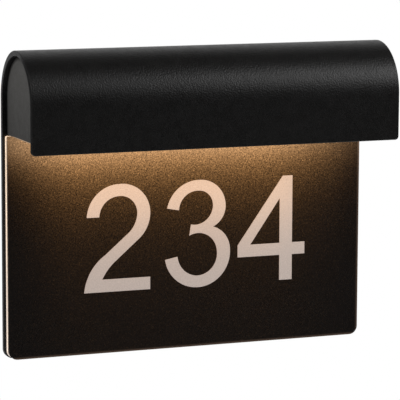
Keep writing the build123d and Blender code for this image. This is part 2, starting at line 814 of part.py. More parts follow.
with BuildPart() as driver_case:
    with BuildSketch(Plane.XY.offset(carrier_top)):
        with Locations((case_x, -case_depth)):
            RectangleRounded(case_long, case_wide, case_corner)
    extrude(amount=case_height - lid_thick)
    with BuildSketch(Plane.XY.offset(carrier_top)):
        with Locations((case_x, -driver_screw_depth)):
            RectangleRounded(case_long + 2 * ear_length, ear_width, case_corner)
    extrude(amount=ear_thick)
    with BuildSketch(Plane.XY.offset(carrier_top + case_wall)):
        with Locations((case_x, -case_depth)):
            Rectangle(case_long - 2 * case_wall, case_wide - 2 * case_wall)
    extrude(amount=case_height, mode=Mode.SUBTRACT)
    with Locations(*[facing_up(x, driver_screw_depth, carrier_top + ear_thick) for x in driver_screw_x]):
        Hole(clear_hole, depth=ear_thick)

    # openings for the leads
    with BuildSketch(Plane.YZ.offset(case_left)):
        with Locations(*[(-depth, mains_wire_z) for depth in mains_wire_depth]):
            Circle(mains_wire / 2 + wire_room)
    extrude(amount=case_wall, mode=Mode.SUBTRACT)
    with BuildSketch(Plane.YZ.offset(case_right)):
        with Locations(*[(-depth, led_wire_z) for depth in led_wire_depth]):
            Circle(led_wire / 2 + wire_room)
    extrude(amount=-case_wall, mode=Mode.SUBTRACT)

driver_case.part.label = "driver_case"
export_step(driver_case.part, "parts/driver_case.step")

spigot_deep = 1.5
lid_round = 0.5
with BuildPart() as driver_lid:
    with BuildSketch(Plane.XY.offset(carrier_top + case_height - lid_thick)):
        with Locations((case_x, -case_depth)):
            RectangleRounded(case_long, case_wide, case_corner)
    extrude(amount=lid_thick)
    with BuildSketch(Plane.XY.offset(carrier_top + case_height - lid_thick)):
        with Locations((case_x, -case_depth)):
            Rectangle(case_long - 2 * case_wall - 2 * snug, case_wide - 2 * case_wall - 2 * snug)
            Rectangle(case_long - 4 * case_wall, case_wide - 4 * case_wall, mode=Mode.SUBTRACT)
    extrude(amount=-spigot_deep)
    fillet(driver_lid.edges().group_by(Axis.Z)[-1], radius=lid_round)

driver_lid.part.label = "driver_lid"
export_step(driver_lid.part, "parts/driver_lid.step")

# circuit board with its transformer, two capacitors and a choke
circuit_floor = carrier_top + case_wall + 2.5
circuit_thick = 1.2
circuit_margin = 0.5
component_floor = circuit_floor + circuit_thick
transformer = (15.0, 14.0, 9.5)
capacitor_radius = 4.0
capacitor_height = 9.0
choke = (10.0, 4.0, 6.0)
with BuildPart() as driver_board:
    with BuildSketch(Plane.XY.offset(circuit_floor)):
        with Locations((case_x, -case_depth)):
            Rectangle(
                case_long - 2 * (case_wall + circuit_margin),
                case_wide - 2 * (case_wall + circuit_margin),
            )
    extrude(amount=circuit_thick)
    with BuildSketch(Plane.XY.offset(component_floor)):
        with Locations((case_x + 4, -case_depth)):
            RectangleRounded(transformer[0], transformer[1], 1)
    extrude(amount=transformer[2])
    with BuildSketch(Plane.XY.offset(component_floor)):
        with Locations((case_x - 17, -case_depth - 7), (case_x + 21, -case_depth + 7)):
            Circle(capacitor_radius)
    extrude(amount=capacitor_height)
    with BuildSketch(Plane.XY.offset(component_floor)):
        with Locations((case_x - 12, -case_depth + 9)):
            Rectangle(choke[0], choke[1])
    extrude(amount=choke[2])

driver_board.part.label = "driver_board"
export_step(driver_board.part, "parts/driver_board.step")

driver_screw = pan_screw(
    shank=screw_core, head=2.8, head_height=1.8, length=ear_thick + shelf_grip, socket=1.2,
)
with BuildPart() as driver_screws:
    with Locations(*[facing_up(x, driver_screw_depth, carrier_top + ear_thick) for x in driver_screw_x]):
        add(driver_screw)

driver_screws.part.label = "driver_screws"
export_step(driver_screws.part, "parts/driver_screws.step")

# ---- terminal block: three poles, with brass clamps in pockets ----

pole_pitch = 10.0
pole_x = [terminal_x + step * pole_pitch for step in (-1, 0, 1)]
block_long = 34.0
block_wide = 20.0
block_height = 15.0
block_round = 1.0
clamp_size = (6.4, 14.0, 6.4)
clamp_play = 0.1
pole_mouth = 1.9
pole_bore = 1.6
clamp_floor = carrier_top + 5.0
wire_level = clamp_floor + clamp_size[2] / 2
clamp_top = clamp_floor + clamp_size[2]

with BuildPart() as terminal_block:
    with BuildSketch(Plane.XY.offset(carrier_top)):
        with Locations((terminal_x, -terminal_depth)):
            Rectangle(block_long, block_wide)
    extrude(amount=block_height)
    fillet(terminal_block.edges().filter_by(Axis.Z), radius=block_round)
    with BuildSketch(Plane.XY.offset(carrier_top + block_height)):
        with Locations(*[(x, -terminal_depth) for x in pole_x]):
            Rectangle(clamp_size[0] + 2 * clamp_play, clamp_size[1] + 2 * clamp_play)
    extrude(amount=clamp_floor - carrier_top - block_height, mode=Mode.SUBTRACT)
    with BuildSketch(Plane.XZ.offset(terminal_depth)):
        with Locations(*[(x, wire_level) for x in pole_x]):
            Circle(pole_mouth)
    extrude(amount=block_wide / 2, both=True, mode=Mode.SUBTRACT)
    with Locations(facing_up(terminal_x, terminal_depth, clamp_floor)):
        Hole(clear_hole, depth=clamp_floor - carrier_top)

terminal_block.part.label = "terminal_block"
export_step(terminal_block.part, "parts/terminal_block.step")

terminal_screw_offset = 4.4
with BuildPart() as terminal_clamps:
    with BuildSketch(Plane.XY.offset(clamp_floor)):
        with Locations(*[(x, -terminal_depth) for x in pole_x]):
            Rectangle(clamp_size[0], clamp_size[1])
    extrude(amount=clamp_size[2])
    with BuildSketch(Plane.XZ.offset(terminal_depth)):
        with Locations(*[(x, wire_level) for x in pole_x]):
            Circle(pole_bore)
    extrude(amount=clamp_size[1] / 2, both=True, mode=Mode.SUBTRACT)
    with BuildSketch(Plane.XY.offset(clamp_top)):
        for x in pole_x:
            with Locations(
                (x, -terminal_depth - terminal_screw_offset),
                (x, -terminal_depth + terminal_screw_offset),
            ):
                Circle(core_hole)
    extrude(amount=-clamp_size[2] / 2, mode=Mode.SUBTRACT)
    with Locations(facing_up(terminal_x, terminal_depth, clamp_top)):
        Hole(clear_hole, depth=clamp_size[2])

terminal_clamps.part.label = "terminal_clamps"
export_step(terminal_clamps.part, "parts/terminal_clamps.step")

grip_head = 2.0
grip_head_height = 1.4
grip_socket = 0.9
grip_screw = pan_screw(
    shank=screw_core, head=grip_head, head_height=grip_head_height, length=1.8, socket=grip_socket,
)
with BuildPart() as terminal_screws:
    grip_places = []
    for x in pole_x:
        for side in (-1, 1):
            grip_places.append(facing_up(x, terminal_depth + side * terminal_screw_offset, clamp_top))
    with Locations(*grip_places):
        add(grip_screw)

terminal_screws.part.label = "terminal_screws"
export_step(terminal_screws.part, "parts/terminal_screws.step")

fixing_screw = pan_screw(
    shank=screw_core, head=grip_head, head_height=grip_head_height,
    length=clamp_top - carrier_top + shelf_grip, socket=grip_socket,
)
with BuildPart() as terminal_fixing_screw:
    with Locations(facing_up(terminal_x, terminal_depth, clamp_top)):
        add(fixing_screw)

terminal_fixing_screw.part.label = "terminal_fixing_screw"
export_step(terminal_fixing_screw.part, "parts/terminal_fixing_screw.step")

# ---- cord anchor: bridge that grips the mains cable on the shelf ----

anchor_height = 8.5
anchor_wide = 8.0
anchor_long = 2 * anchor_screw_offset + 4.8
anchor_corner = 1.5
anchor_bore = 7.0
anchor_screw_hole = 1.35
with BuildPart() as cord_anchor:
    with BuildSketch(Plane.XY.offset(carrier_top)):
        with Locations((anchor_x, -anchor_depth)):
            RectangleRounded(anchor_wide, anchor_long, anchor_corner)
    extrude(amount=anchor_height)
    with BuildSketch(Plane.YZ.offset(anchor_x)):
        with Locations((-anchor_depth, carrier_top)):
            Rectangle(anchor_bore, anchor_bore)
        with Locations((-anchor_depth, carrier_top + anchor_bore / 2)):
            Circle(anchor_bore / 2)
    extrude(amount=anchor_wide / 2, both=True, mode=Mode.SUBTRACT)
    anchor_screw_places = [
        facing_up(anchor_x, anchor_depth + side * anchor_screw_offset, carrier_top + anchor_height)
        for side in (-1, 1)
    ]
    with Locations(*anchor_screw_places):
        Hole(anchor_screw_hole, depth=anchor_height)

cord_anchor.part.label = "cord_anchor"
export_step(cord_anchor.part, "parts/cord_anchor.step")

anchor_screw = pan_screw(
    shank=screw_core, head=2.3, head_height=1.6, length=anchor_height + shelf_grip, socket=1.1,
)
with BuildPart() as anchor_screws:
    with Locations(*anchor_screw_places):
        add(anchor_screw)

anchor_screws.part.label = "anchor_screws"
export_step(anchor_screws.part, "parts/anchor_screws.step")

# ---- earth point of the sign ----

ring_thick = 0.8
ring_radius = 4.0
tongue_width = 3.4
tongue_end = earth_depth + 9.5
barrel_radius = 2.0
barrel_length = 6.0
barrel_depth = earth_depth + 7.0
barrel_height = carrier_top + barrel_radius
barrel_floor = 1.5
with BuildPart() as earth_ring:
    with BuildSketch(Plane.XY.offset(carrier_top)):
        with Locations((earth_x, -earth_depth)):
            Circle(ring_radius)
        with Locations((earth_x, -(earth_depth + tongue_end) / 2)):
            Rectangle(tongue_width, tongue_end - earth_depth)
        with Locations((earth_x, -earth_depth)):
            Circle(clear_hole, mode=Mode.SUBTRACT)
    extrude(amount=ring_thick)
    with BuildSketch(Plane.XZ.offset(barrel_depth)):
        with Locations((earth_x, barrel_height)):
            Circle(barrel_radius)
    extrude(amount=barrel_length)
    with BuildSketch(Plane.XZ.offset(barrel_depth + barrel_floor)):
        with Locations((earth_x, barrel_height)):
            Circle(mains_wire / 2 + wire_room)
    extrude(amount=barrel_length, mode=Mode.SUBTRACT)

earth_ring.part.label = "earth_ring"
export_step(earth_ring.part, "parts/earth_ring.step")

earth_stud = pan_screw(
    shank=screw_core, head=3.0, head_height=2.0, length=ring_thick + shelf_grip, socket=1.3,
)
with BuildPart() as earth_screw:
    with Locations(facing_up(earth_x, earth_depth, carrier_top + ring_thick)):
        add(earth_stud)

earth_screw.part.label = "earth_screw"
export_step(earth_screw.part, "parts/earth_screw.step")

# ---- wiring inside the hood ----

pole_front = terminal_depth + 4.5
lead_in = 3.0             # length of a wire inside the case or a connector
earth_end = barrel_depth + barrel_floor + 0.5
wire_earth_route = [
    (pole_x[0], -pole_front, wire_level), (pole_x[0], -45.0, wire_level),
    (-62.0, -50.0, -4.0), (earth_x, -50.0, barrel_height), (earth_x, -earth_end, barrel_height),
]
wire_earth = insulated_wire(wire_earth_route, mains_wire)
wire_earth.label = "wire_earth"
export_step(wire_earth, "parts/wire_earth.step")

wire_neutral_route = [
    (pole_x[1], -pole_front, wire_level), (pole_x[1], -47.0, wire_level),
    (-22.0, -47.0, wire_level + 1.0), (-18.0, -mains_wire_depth[1], mains_wire_z),
    (case_left + lead_in, -mains_wire_depth[1], mains_wire_z),
]
wire_neutral = insulated_wire(wire_neutral_route, mains_wire)
wire_neutral.label = "wire_neutral"
export_step(wire_neutral, "parts/wire_neutral.step")

wire_live_route = [
    (pole_x[2], -pole_front, wire_level), (pole_x[2], -42.0, wire_level + 0.5),
    (-24.0, -40.0, wire_level + 3.0), (-17.0, -mains_wire_depth[0], mains_wire_z),
    (case_left + lead_in, -mains_wire_depth[0], mains_wire_z),
]
wire_live = insulated_wire(wire_live_route, mains_wire)
wire_live.label = "wire_live"
export_step(wire_live, "parts/wire_live.step")

led_lead_start = case_right - lead_in
led_lead_end = carrier_under + connector_height - lead_in
wire_led_plus_route = [
    (led_lead_start, -led_wire_depth[0], led_wire_z),
    (led_wire_x[0], -led_wire_depth[0], led_wire_z),
    (led_wire_x[0], -led_wire_depth[0], led_lead_end),
]
wire_led_plus = insulated_wire(wire_led_plus_route, led_wire)
wire_led_plus.label = "wire_led_plus"
export_step(wire_led_plus, "parts/wire_led_plus.step")

wire_led_minus_route = [
    (led_lead_start, -led_wire_depth[1], led_wire_z),
    (led_wire_x[1], -led_wire_depth[1], led_wire_z),
    (led_wire_x[1], -led_wire_depth[1], led_lead_end),
]
wire_led_minus = insulated_wire(wire_led_minus_route, led_wire)
wire_led_minus.label = "wire_led_minus"
export_step(wire_led_minus, "parts/wire_led_minus.step")

# ---- wall bracket: folded steel, arms through the window, forked feet on the shelf ----

foot_outer = 98.0
foot_back = 18.0
fork_width = 4.6
fork_end = clamp_depth - 2.4
arm_rise = 6.0
arm_tip_height = 5.0
arm_slope = 12.0
bracket_corner = 1.5
stud_x = 35.0
stud_core = 1.45
stud_hole = 1.5

with BuildPart() as wall_bracket:
    with BuildSketch(Plane.XZ) as bracket_face:
        Rectangle(2 * bracket_half, bracket_height)
        fillet(bracket_face.vertices(), radius=bracket_corner)
        with Locations((-screw_spacing / 2, 0), (screw_spacing / 2, 0)):
            SlotOverall(slot_length, slot_width, mode=Mode.SUBTRACT)
        Circle(cable_hole / 2, mode=Mode.SUBTRACT)
        with Locations((stud_x, 0)):
            Circle(stud_hole, mode=Mode.SUBTRACT)
    extrude(amount=bracket_sheet)
    for side in (-1, 1):
        with BuildSketch(Plane.YZ.offset(side * bracket_half)):
            with BuildLine():
                Polyline(
                    (0, carrier_top), (-arm_reach, carrier_top),
                    (-arm_reach, carrier_top + arm_tip_height), (-arm_reach + arm_slope, arm_rise),
                    (0, arm_rise), close=True,
                )
            make_face()
        extrude(amount=-side * bracket_sheet)
        with BuildSketch(Plane.XY.offset(carrier_top)):
            foot_x = side * (bracket_half + foot_outer) / 2
            with Locations((foot_x, -(foot_back + arm_reach) / 2)):
                Rectangle(foot_outer - bracket_half, arm_reach - foot_back)
            with Locations((side * clamp_x, -(fork_end + arm_reach) / 2)):
                Rectangle(fork_width, arm_reach - fork_end, mode=Mode.SUBTRACT)
        extrude(amount=bracket_sheet)

wall_bracket.part.label = "wall_bracket"
export_step(wall_bracket.part, "parts/wall_bracket.step")

# snap-in bush for the mains cable
bush_radius = cable_hole / 2 - 0.05
bush_flange = 10.0
bush_flange_thick = 2.0
bush_length = bracket_sheet + 3.0
bush_round = 0.5
with BuildPart() as cable_bush:
    with BuildSketch(Plane.XZ):
        Circle(bush_radius)
    extrude(amount=bush_length)
    with BuildSketch(Plane.XZ.offset(bracket_sheet)):
        Circle(bush_flange)
    extrude(amount=bush_flange_thick)
    fillet(cable_bush.edges().group_by(Axis.Y)[0], radius=bush_round)
    with BuildSketch(Plane.XZ):
        Circle(cable_diameter / 2)
    extrude(amount=bush_length, mode=Mode.SUBTRACT)

cable_bush.part.label = "cable_bush"
export_step(cable_bush.part, "parts/cable_bush.step")

bracket_stud = pan_screw(
    shank=stud_core, head=3.0, head_height=2.0, length=bracket_sheet, socket=1.3,
)
with BuildPart() as bracket_earth_screw:
    with Locations(Plane((stud_x, -bracket_sheet, 0), x_dir=(1, 0, 0), z_dir=(0, -1, 0)).location):
        add(bracket_stud)

bracket_earth_screw.part.label = "bracket_earth_screw"
export_step(bracket_earth_screw.part, "parts/bracket_earth_screw.step")

# ---- clamps: a screw from below and a threaded plate on top of each forked foot ----

clamp_plate_thick = 3.0
clamp_plate_size = (13.0, 11.0)
clamp_plate_corner = 1.5
clamp_core = 1.95
tongue_offset = 4.2
tongue_deep = 2.2
clamp_screw = pan_screw(shank=clamp_core, head=3.6, head_height=2.6, length=9.0, socket=1.6)
with BuildPart() as clamp_screws:
    with Locations(*[facing_down(x, -y, carrier_under) for x, y in clamps]):
        add(clamp_screw)

clamp_screws.part.label = "clamp_screws"
export_step(clamp_screws.part, "parts/clamp_screws.step")

with BuildPart() as clamp_plates:
    plate_floor = carrier_top + bracket_sheet
    with BuildSketch(Plane.XY.offset(plate_floor)):
        with Locations(*clamps):
            RectangleRounded(*clamp_plate_size, clamp_plate_corner)
            Circle(clamp_core + 0.05, mode=Mode.SUBTRACT)
    extrude(amount=clamp_plate_thick)
    # tongue in the fork, which keeps the plate from turning
    with BuildSketch(Plane.XY.offset(plate_floor)):
        with Locations(*[(x, y - tongue_offset) for x, y in clamps]):
            Rectangle(fork_width - 0.8, tongue_deep)
    extrude(amount=0.2 - bracket_sheet)

clamp_plates.part.label = "clamp_plates"
export_step(clamp_plates.part, "parts/clamp_plates.step")
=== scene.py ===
import math
import bmesh
import bpy
import numpy as np
from mathutils import Matrix, Vector


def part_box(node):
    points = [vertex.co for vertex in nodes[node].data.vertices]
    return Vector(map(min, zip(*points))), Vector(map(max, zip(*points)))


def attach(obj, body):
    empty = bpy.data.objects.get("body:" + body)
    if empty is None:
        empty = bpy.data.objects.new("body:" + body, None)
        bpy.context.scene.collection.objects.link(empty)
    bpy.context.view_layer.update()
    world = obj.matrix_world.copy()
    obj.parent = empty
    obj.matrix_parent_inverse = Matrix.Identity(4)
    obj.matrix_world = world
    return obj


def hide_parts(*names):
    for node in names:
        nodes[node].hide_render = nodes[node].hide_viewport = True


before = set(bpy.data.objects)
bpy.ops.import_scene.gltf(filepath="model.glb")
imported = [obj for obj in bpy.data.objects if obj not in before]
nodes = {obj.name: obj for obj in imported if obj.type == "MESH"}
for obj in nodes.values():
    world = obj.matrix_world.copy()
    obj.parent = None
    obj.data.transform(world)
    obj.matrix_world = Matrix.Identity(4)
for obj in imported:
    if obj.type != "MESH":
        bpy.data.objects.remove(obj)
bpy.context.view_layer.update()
print("frame loaded with", len(nodes), "nodes")


# short ways to write node trees

def feed(tree, node, inputs):
    for key, value in inputs.items():
        if isinstance(value, bpy.types.NodeSocket):
            tree.links.new(value, node.inputs[key])
        else:
            node.inputs[key].default_value = value


def addNode(tree, kind, inputs=None, **settings):
    node = tree.nodes.new("ShaderNode" + kind)
    for name, value in settings.items():
        setattr(node, name, value)
    feed(tree, node, inputs or {})
    return node


def calc(tree, operation, *terms):
    return addNode(tree, "Math", dict(enumerate(terms)), operation=operation).outputs[0]


def times(tree, first, second):
    return calc(tree, "MULTIPLY", first, second)


def remap(tree, value, fromLow, fromHigh, toLow, toHigh, smooth=False):
    node = addNode(
        tree, "MapRange",
        {"Value": value, "From Min": fromLow, "From Max": fromHigh, "To Min": toLow, "To Max": toHigh},
        interpolation_type="SMOOTHSTEP" if smooth else "LINEAR",
    )
    return node.outputs[0]


def fade(tree, value, none, full):
    # 0 at none and before it, 1 at full and past it, with a soft course between
    return remap(tree, value, none, full, 0.0, 1.0, True)


def blendColours(tree, share, first, second, mode="MIX"):
    node = addNode(tree, "Mix", {0: share, 6: first, 7: second}, data_type="RGBA", blend_type=mode)
    return node.outputs[2]


def dim(tree, colour, level):
    # the colour times a level, which may be over 1
    even = addNode(tree, "CombineColor", {0: level, 1: level, 2: level}).outputs[0]
    return blendColours(tree, 1.0, colour, even, "MULTIPLY")


def objectPlace(tree):
    return addNode(tree, "TexCoord").outputs["Object"]


def objectNormal(tree):
    return addNode(tree, "TexCoord").outputs["Normal"]


def partsOf(tree, vector):
    return addNode(tree, "SeparateXYZ", {0: vector}).outputs


def inMm(tree, metres):
    return times(tree, metres, 1000.0)


def perMetre(tree, size):
    # how many of a size in mm go into a metre, which is what a texture's scale says
    return calc(tree, "DIVIDE", 1000.0, size)


def distanceOf(tree, across, along):
    squares = calc(tree, "ADD", times(tree, across, across), times(tree, along, along))
    return calc(tree, "SQRT", squares)


def noiseAt(tree, place, scale, detail=2.0, roughness=0.5):
    inputs = {"Vector": place, "Scale": scale, "Detail": detail, "Roughness": roughness}
    return addNode(tree, "TexNoise", inputs).outputs["Fac"]


def softCells(tree, place, scale, smoothness):
    # distance to the centre of the nearest cell, with the borders between cells rounded off
    inputs = {"Vector": place, "Scale": scale, "Smoothness": smoothness}
    return addNode(tree, "TexVoronoi", inputs, feature="SMOOTH_F1").outputs["Distance"]


def newGroup(name, inputs, outputs):
    group = bpy.data.node_groups.new(name, "ShaderNodeTree")
    for label, value in inputs.items():
        socket = group.interface.new_socket(name=label, in_out="INPUT", socket_type="NodeSocketFloat")
        socket.default_value = value
    for label in outputs:
        group.interface.new_socket(name=label, in_out="OUTPUT", socket_type="NodeSocketFloat")
    given = group.nodes.new("NodeGroupInput").outputs
    result = group.nodes.new("NodeGroupOutput")
    return group, given, result


def useGroup(tree, group, values):
    return addNode(tree, "Group", values, node_tree=group).outputs


# effects that several finishes share; their sizes are in mm

def powderGrainGroup():
    # powder coat: small round pebbles with finer grain on them, and slow patches of tone
    tree, given, result = newGroup(
        "powderGrain", {"Grain size": 0.8, "Patch size": 12.0}, ["Height", "Tone", "Patches"],
    )
    fineShare = 0.55
    fineRange, slowRange = (0.32, 0.68), (0.35, 0.65)        # most of the noise lies between these
    place = objectPlace(tree)
    scale = perMetre(tree, given["Grain size"])
    fine = noiseAt(tree, place, scale, detail=3.0, roughness=0.62)
    domes = calc(tree, "SUBTRACT", 1.0, softCells(tree, place, scale, smoothness=0.7))
    slow = noiseAt(tree, place, perMetre(tree, given["Patch size"]))
    feed(tree, result, {
        "Height": calc(tree, "MULTIPLY_ADD", fine, fineShare, domes),
        "Tone": remap(tree, fine, *fineRange, 0.0, 1.0),
        "Patches": fade(tree, slow, *slowRange),
    })
    return tree


def brightGrainsGroup():
    # each cell of a fine mesh is a bright grain or isn't, by its own chance number
    tree, given, result = newGroup(
        "brightGrains", {"Grain size": 0.6, "Share": 0.15}, ["Mask", "Level", "Height"],
    )
    fullWithin, goneBeyond = 0.25, 0.55        # distance from the cell's centre, in cells
    levelPower = 1.6
    inputs = {"Vector": objectPlace(tree), "Scale": perMetre(tree, given["Grain size"])}
    cells = addNode(tree, "TexVoronoi", inputs).outputs
    chances = addNode(tree, "SeparateColor", {"Color": cells["Color"]}).outputs
    chosen = calc(tree, "GREATER_THAN", chances[0], calc(tree, "SUBTRACT", 1.0, given["Share"]))
    roundish = remap(tree, cells["Distance"], fullWithin, goneBeyond, 1.0, 0.0, True)
    feed(tree, result, {
        "Mask": times(tree, chosen, roundish),
        "Level": calc(tree, "POWER", chances[1], levelPower),
        "Height": times(tree, chances[2], roundish),
    })
    return tree


def edgeWearGroup():
    # paler line along edges, broken up by noise: where a rounded normal leaves the true one
    tree, given, result = newGroup("edgeWear", {"Width": 0.4, "Strength": 0.5}, ["Mask"])
    flatCosine, edgeCosine = 0.985, 0.86       # of the angle between the two normals
    breaksPerMetre, breakRange, leastLeft = 260.0, (0.3, 0.65), 0.35
    radius = calc(tree, "DIVIDE", given["Width"], 1000.0)
    rounded = addNode(tree, "Bevel", {"Radius": radius}, samples=4).outputs[0]
    true = addNode(tree, "NewGeometry").outputs["Normal"]
    product = addNode(tree, "VectorMath", {0: rounded, 1: true}, operation="DOT_PRODUCT")
    edge = fade(tree, product.outputs["Value"], flatCosine, edgeCosine)
    breaks = noiseAt(tree, objectPlace(tree), breaksPerMetre, detail=3.0)
    broken = times(tree, edge, remap(tree, breaks, *breakRange, leastLeft, 1.0))
    feed(tree, result, {"Mask": times(tree, broken, given["Strength"])})
    return tree


def dustFilmGroup():
    # dust that settles in drifts on faces that look up
    tree, given, result = newGroup("dustFilm", {"Amount": 0.1, "Patch size": 10.0}, ["Mask"])
    steep, level = 0.2, 1.0                    # upward part of the normal
    driftRange, leastLeft = (0.25, 0.75), 0.35
    upward = partsOf(tree, addNode(tree, "NewGeometry").outputs["Normal"])["Z"]
    drifts = noiseAt(tree, objectPlace(tree), perMetre(tree, given["Patch size"]), detail=5.0)
    drifted = remap(tree, drifts, *driftRange, leastLeft, 1.0)
    lying = times(tree, fade(tree, upward, steep, level), drifted)
    feed(tree, result, {"Mask": times(tree, lying, given["Amount"])})
    return tree


def mouldGrainGroup():
    # spark-eroded grain of moulded plastic and rubber, over wider patches
    tree, given, result = newGroup("mouldGrain", {"Grain size": 0.35}, ["Height", "Tone"])
    patchesPerMetre = 90.0
    patchShare, grainShare = 0.6, 0.4
    place = objectPlace(tree)
    grain = noiseAt(tree, place, perMetre(tree, given["Grain size"]))
    patches = noiseAt(tree, place, patchesPerMetre)
    tone = calc(tree, "MULTIPLY_ADD", patches, patchShare, times(tree, grain, grainShare))
    feed(tree, result, {"Height": grain, "Tone": tone})
    return tree


def rolledLinesGroup():
    # lines that rolling leaves in sheet metal, as noise drawn out along X, over soft blotches
    tree, given, result = newGroup(
        "rolledLines", {"Line length": 18.0, "Line width": 0.25}, ["Height", "Tone"],
    )
    blotchesPerMetre = 420.0
    blotchShare, lineShare = 0.5, 0.6
    place = objectPlace(tree)
    along, across = perMetre(tree, given["Line length"]), perMetre(tree, given["Line width"])
    stretch = addNode(tree, "CombineXYZ", {0: along, 1: across, 2: across}).outputs[0]
    drawn = addNode(tree, "Mapping", {"Vector": place, "Scale": stretch}).outputs[0]
    lines = noiseAt(tree, drawn, 1.0, detail=4.0)
    blotches = softCells(tree, place, blotchesPerMetre, smoothness=0.5)
    tone = calc(tree, "MULTIPLY_ADD", blotches, blotchShare, times(tree, lines, lineShare))
    feed(tree, result, {"Height": lines, "Tone": tone})
    return tree


def lampFallGroup():
    # the lamps' light falls off down the sign as 1 / (1 + (distance below the top / reach) ^ power)
    tree, given, result = newGroup("lampFall", {"Top": -24.0, "Reach": 30.0, "Power": 2.0}, ["Level"])
    height = inMm(tree, partsOf(tree, objectPlace(tree))["Z"])
    below = calc(tree, "MAXIMUM", calc(tree, "SUBTRACT", given["Top"], height), 0.0)
    relative = calc(tree, "DIVIDE", below, given["Reach"])
    fallen = calc(tree, "ADD", 1.0, calc(tree, "POWER", relative, given["Power"]))
    feed(tree, result, {"Level": calc(tree, "DIVIDE", 1.0, fallen)})
    return tree


def rowEndsGroup():
    # the light fades towards the ends of the LED row: full between the inner two places along X,
    # none beyond the outer two
    tree, given, result = newGroup(
        "rowEnds",
        {"Left none": -165.0, "Left full": -75.0, "Right full": 45.0, "Right none": 146.0}, ["Level"],
    )
    place = inMm(tree, partsOf(tree, objectPlace(tree))["X"])
    left = fade(tree, place, given["Left none"], given["Left full"])
    right = fade(tree, place, given["Right none"], given["Right full"])
    feed(tree, result, {"Level": times(tree, left, right)})
    return tree


powderGrain = powderGrainGroup()
brightGrains = brightGrainsGroup()
edgeWear = edgeWearGroup()
dustFilm = dustFilmGroup()
mouldGrain = mouldGrainGroup()
rolledLines = rolledLinesGroup()
lampFall = lampFallGroup()
rowEnds = rowEndsGroup()
print("shared effects built")


# finishes

def grey(level):
    return (level, level, level, 1)


unlit, white = grey(0), grey(1)
rolledRange, mouldRange = (0.3, 0.75), (0.3, 0.7)        # most of these effects' tones lie between


def newFinish(name, plain):
    material = bpy.data.materials.new(name)
    material.use_nodes = True
    tree = material.node_tree
    tree.nodes.clear()
    shader = addNode(tree, "BsdfPrincipled", plain)
    addNode(tree, "OutputMaterial", {"Surface": shader.outputs[0]})
    return material, tree, shader


def roughenBy(tree, shader, height, strength, depth):
    # depth in mm
    inputs = {"Height": height, "Strength": strength, "Distance": depth / 1000}
    feed(tree, shader, {"Normal": addNode(tree, "Bump", inputs).outputs[0]})


def coatFinish(name, look):
    material, tree, shader = newFinish(name, {"Specular IOR Level": look["gloss"]})
    grain = useGroup(tree, powderGrain, {"Grain size": look["grain"], "Patch size": look["patch"]})
    worn = useGroup(tree, edgeWear, {"Width": look["wearWidth"], "Strength": look["wear"]})
    dusty = useGroup(tree, dustFilm, {"Amount": look["dust"], "Patch size": look["dustPatch"]})
    colour = blendColours(tree, grain["Tone"], look["dark"], look["light"])
    colour = blendColours(tree, worn["Mask"], colour, look["edge"])
    colour = blendColours(tree, dusty["Mask"], colour, look["dustColour"])
    rough = remap(tree, grain["Patches"], 0.0, 1.0, *look["roughness"])
    if "sawn" in look:
        rough = sawnEnds(tree, rough, look["sawn"])
    feed(tree, shader, {"Base Color": colour, "Roughness": rough})
    roughenBy(tree, shader, grain["Height"], look["bump"], look["grain"] * look["depth"])
    return material


def sawnEnds(tree, rough, look):
    # the profile's sawn ends face along X; towards the lip the saw leaves them rougher, so they shine less
    sideways = calc(tree, "ABSOLUTE", partsOf(tree, objectNormal(tree))["X"])
    onEnd = fade(tree, sideways, *look["sideways"])
    forward = fade(tree, partsOf(tree, objectPlace(tree))["Y"], *look["between"])
    share = times(tree, onEnd, forward)
    change = times(tree, share, calc(tree, "SUBTRACT", look["roughness"], rough))
    return calc(tree, "ADD", rough, change)


def capFinish(name, look):
    # the coat with painted light: paler towards the crown as painted top light, painted shade at the joint,
    # and the lens's light painted along the lower arris
    material = coatFinish(name, look)
    tree = material.node_tree
    shader = tree.nodes["Principled BSDF"]
    coat = shader.inputs["Base Color"].links[0].from_socket
    place = partsOf(tree, objectPlace(tree))
    # painted top light: the coat grows paler up towards the crown
    rise = remap(tree, place["Z"], *look["paintedTopLightBetween"], 1.0, look["paintedTopLight"])
    tone = times(tree, rise, calc(tree, "SUBTRACT", 1.0, jointShade(tree, place, look)))
    shaded = dim(tree, coat, tone)
    # painted light: the lens's light on the lower arris, given as emission, strongest low down and towards
    # the front
    low = remap(tree, place["Z"], look["foot"], look["foot"] + look["arrisHigh"], 1.0, 0.0, True)
    forward = fade(tree, place["Y"], *look["arrisBetween"])
    lit = blendColours(tree, times(tree, low, forward), unlit, look["arris"])
    feed(tree, shader, {"Base Color": shaded, "Emission Color": lit, "Emission Strength": 1.0})
    return material


def jointShade(tree, place, look):
    # shade in the joint with the hood, at the back half of the arch: it falls with the distance in from the
    # cap's edge, radius - sqrt(y^2 + z^2) with y from the arch's axis; in mm
    offAxis = calc(tree, "MULTIPLY_ADD", place["Y"], 1000.0, look["axis"])
    above = calc(tree, "MAXIMUM", inMm(tree, place["Z"]), 0.0)
    inward = calc(tree, "SUBTRACT", look["radius"], distanceOf(tree, offAxis, above))
    nearEdge = remap(tree, inward, *look["shadeWithin"], look["shade"], 0.0, True)
    backHalf = fade(tree, offAxis, *look["shadeBack"])
    return times(tree, nearEdge, backHalf)


def metalFinish(name, look):
    material, tree, shader = newFinish(name, {"Metallic": 1.0})
    rolled = useGroup(
        tree, rolledLines, {"Line length": look["lineLength"], "Line width": look["lineWidth"]},
    )
    worn = useGroup(tree, edgeWear, {"Width": 0.3, "Strength": 0.6})
    tone = remap(tree, rolled["Tone"], *rolledRange, 0.0, 1.0)
    colour = blendColours(tree, tone, look["dark"], look["light"])
    colour = blendColours(tree, worn["Mask"], colour, look["edge"])
    rough = remap(tree, rolled["Tone"], *rolledRange, *look["roughness"])
    feed(tree, shader, {"Base Color": colour, "Roughness": rough})
    roughenBy(tree, shader, rolled["Height"], look["bump"], depth=0.04)
    return material


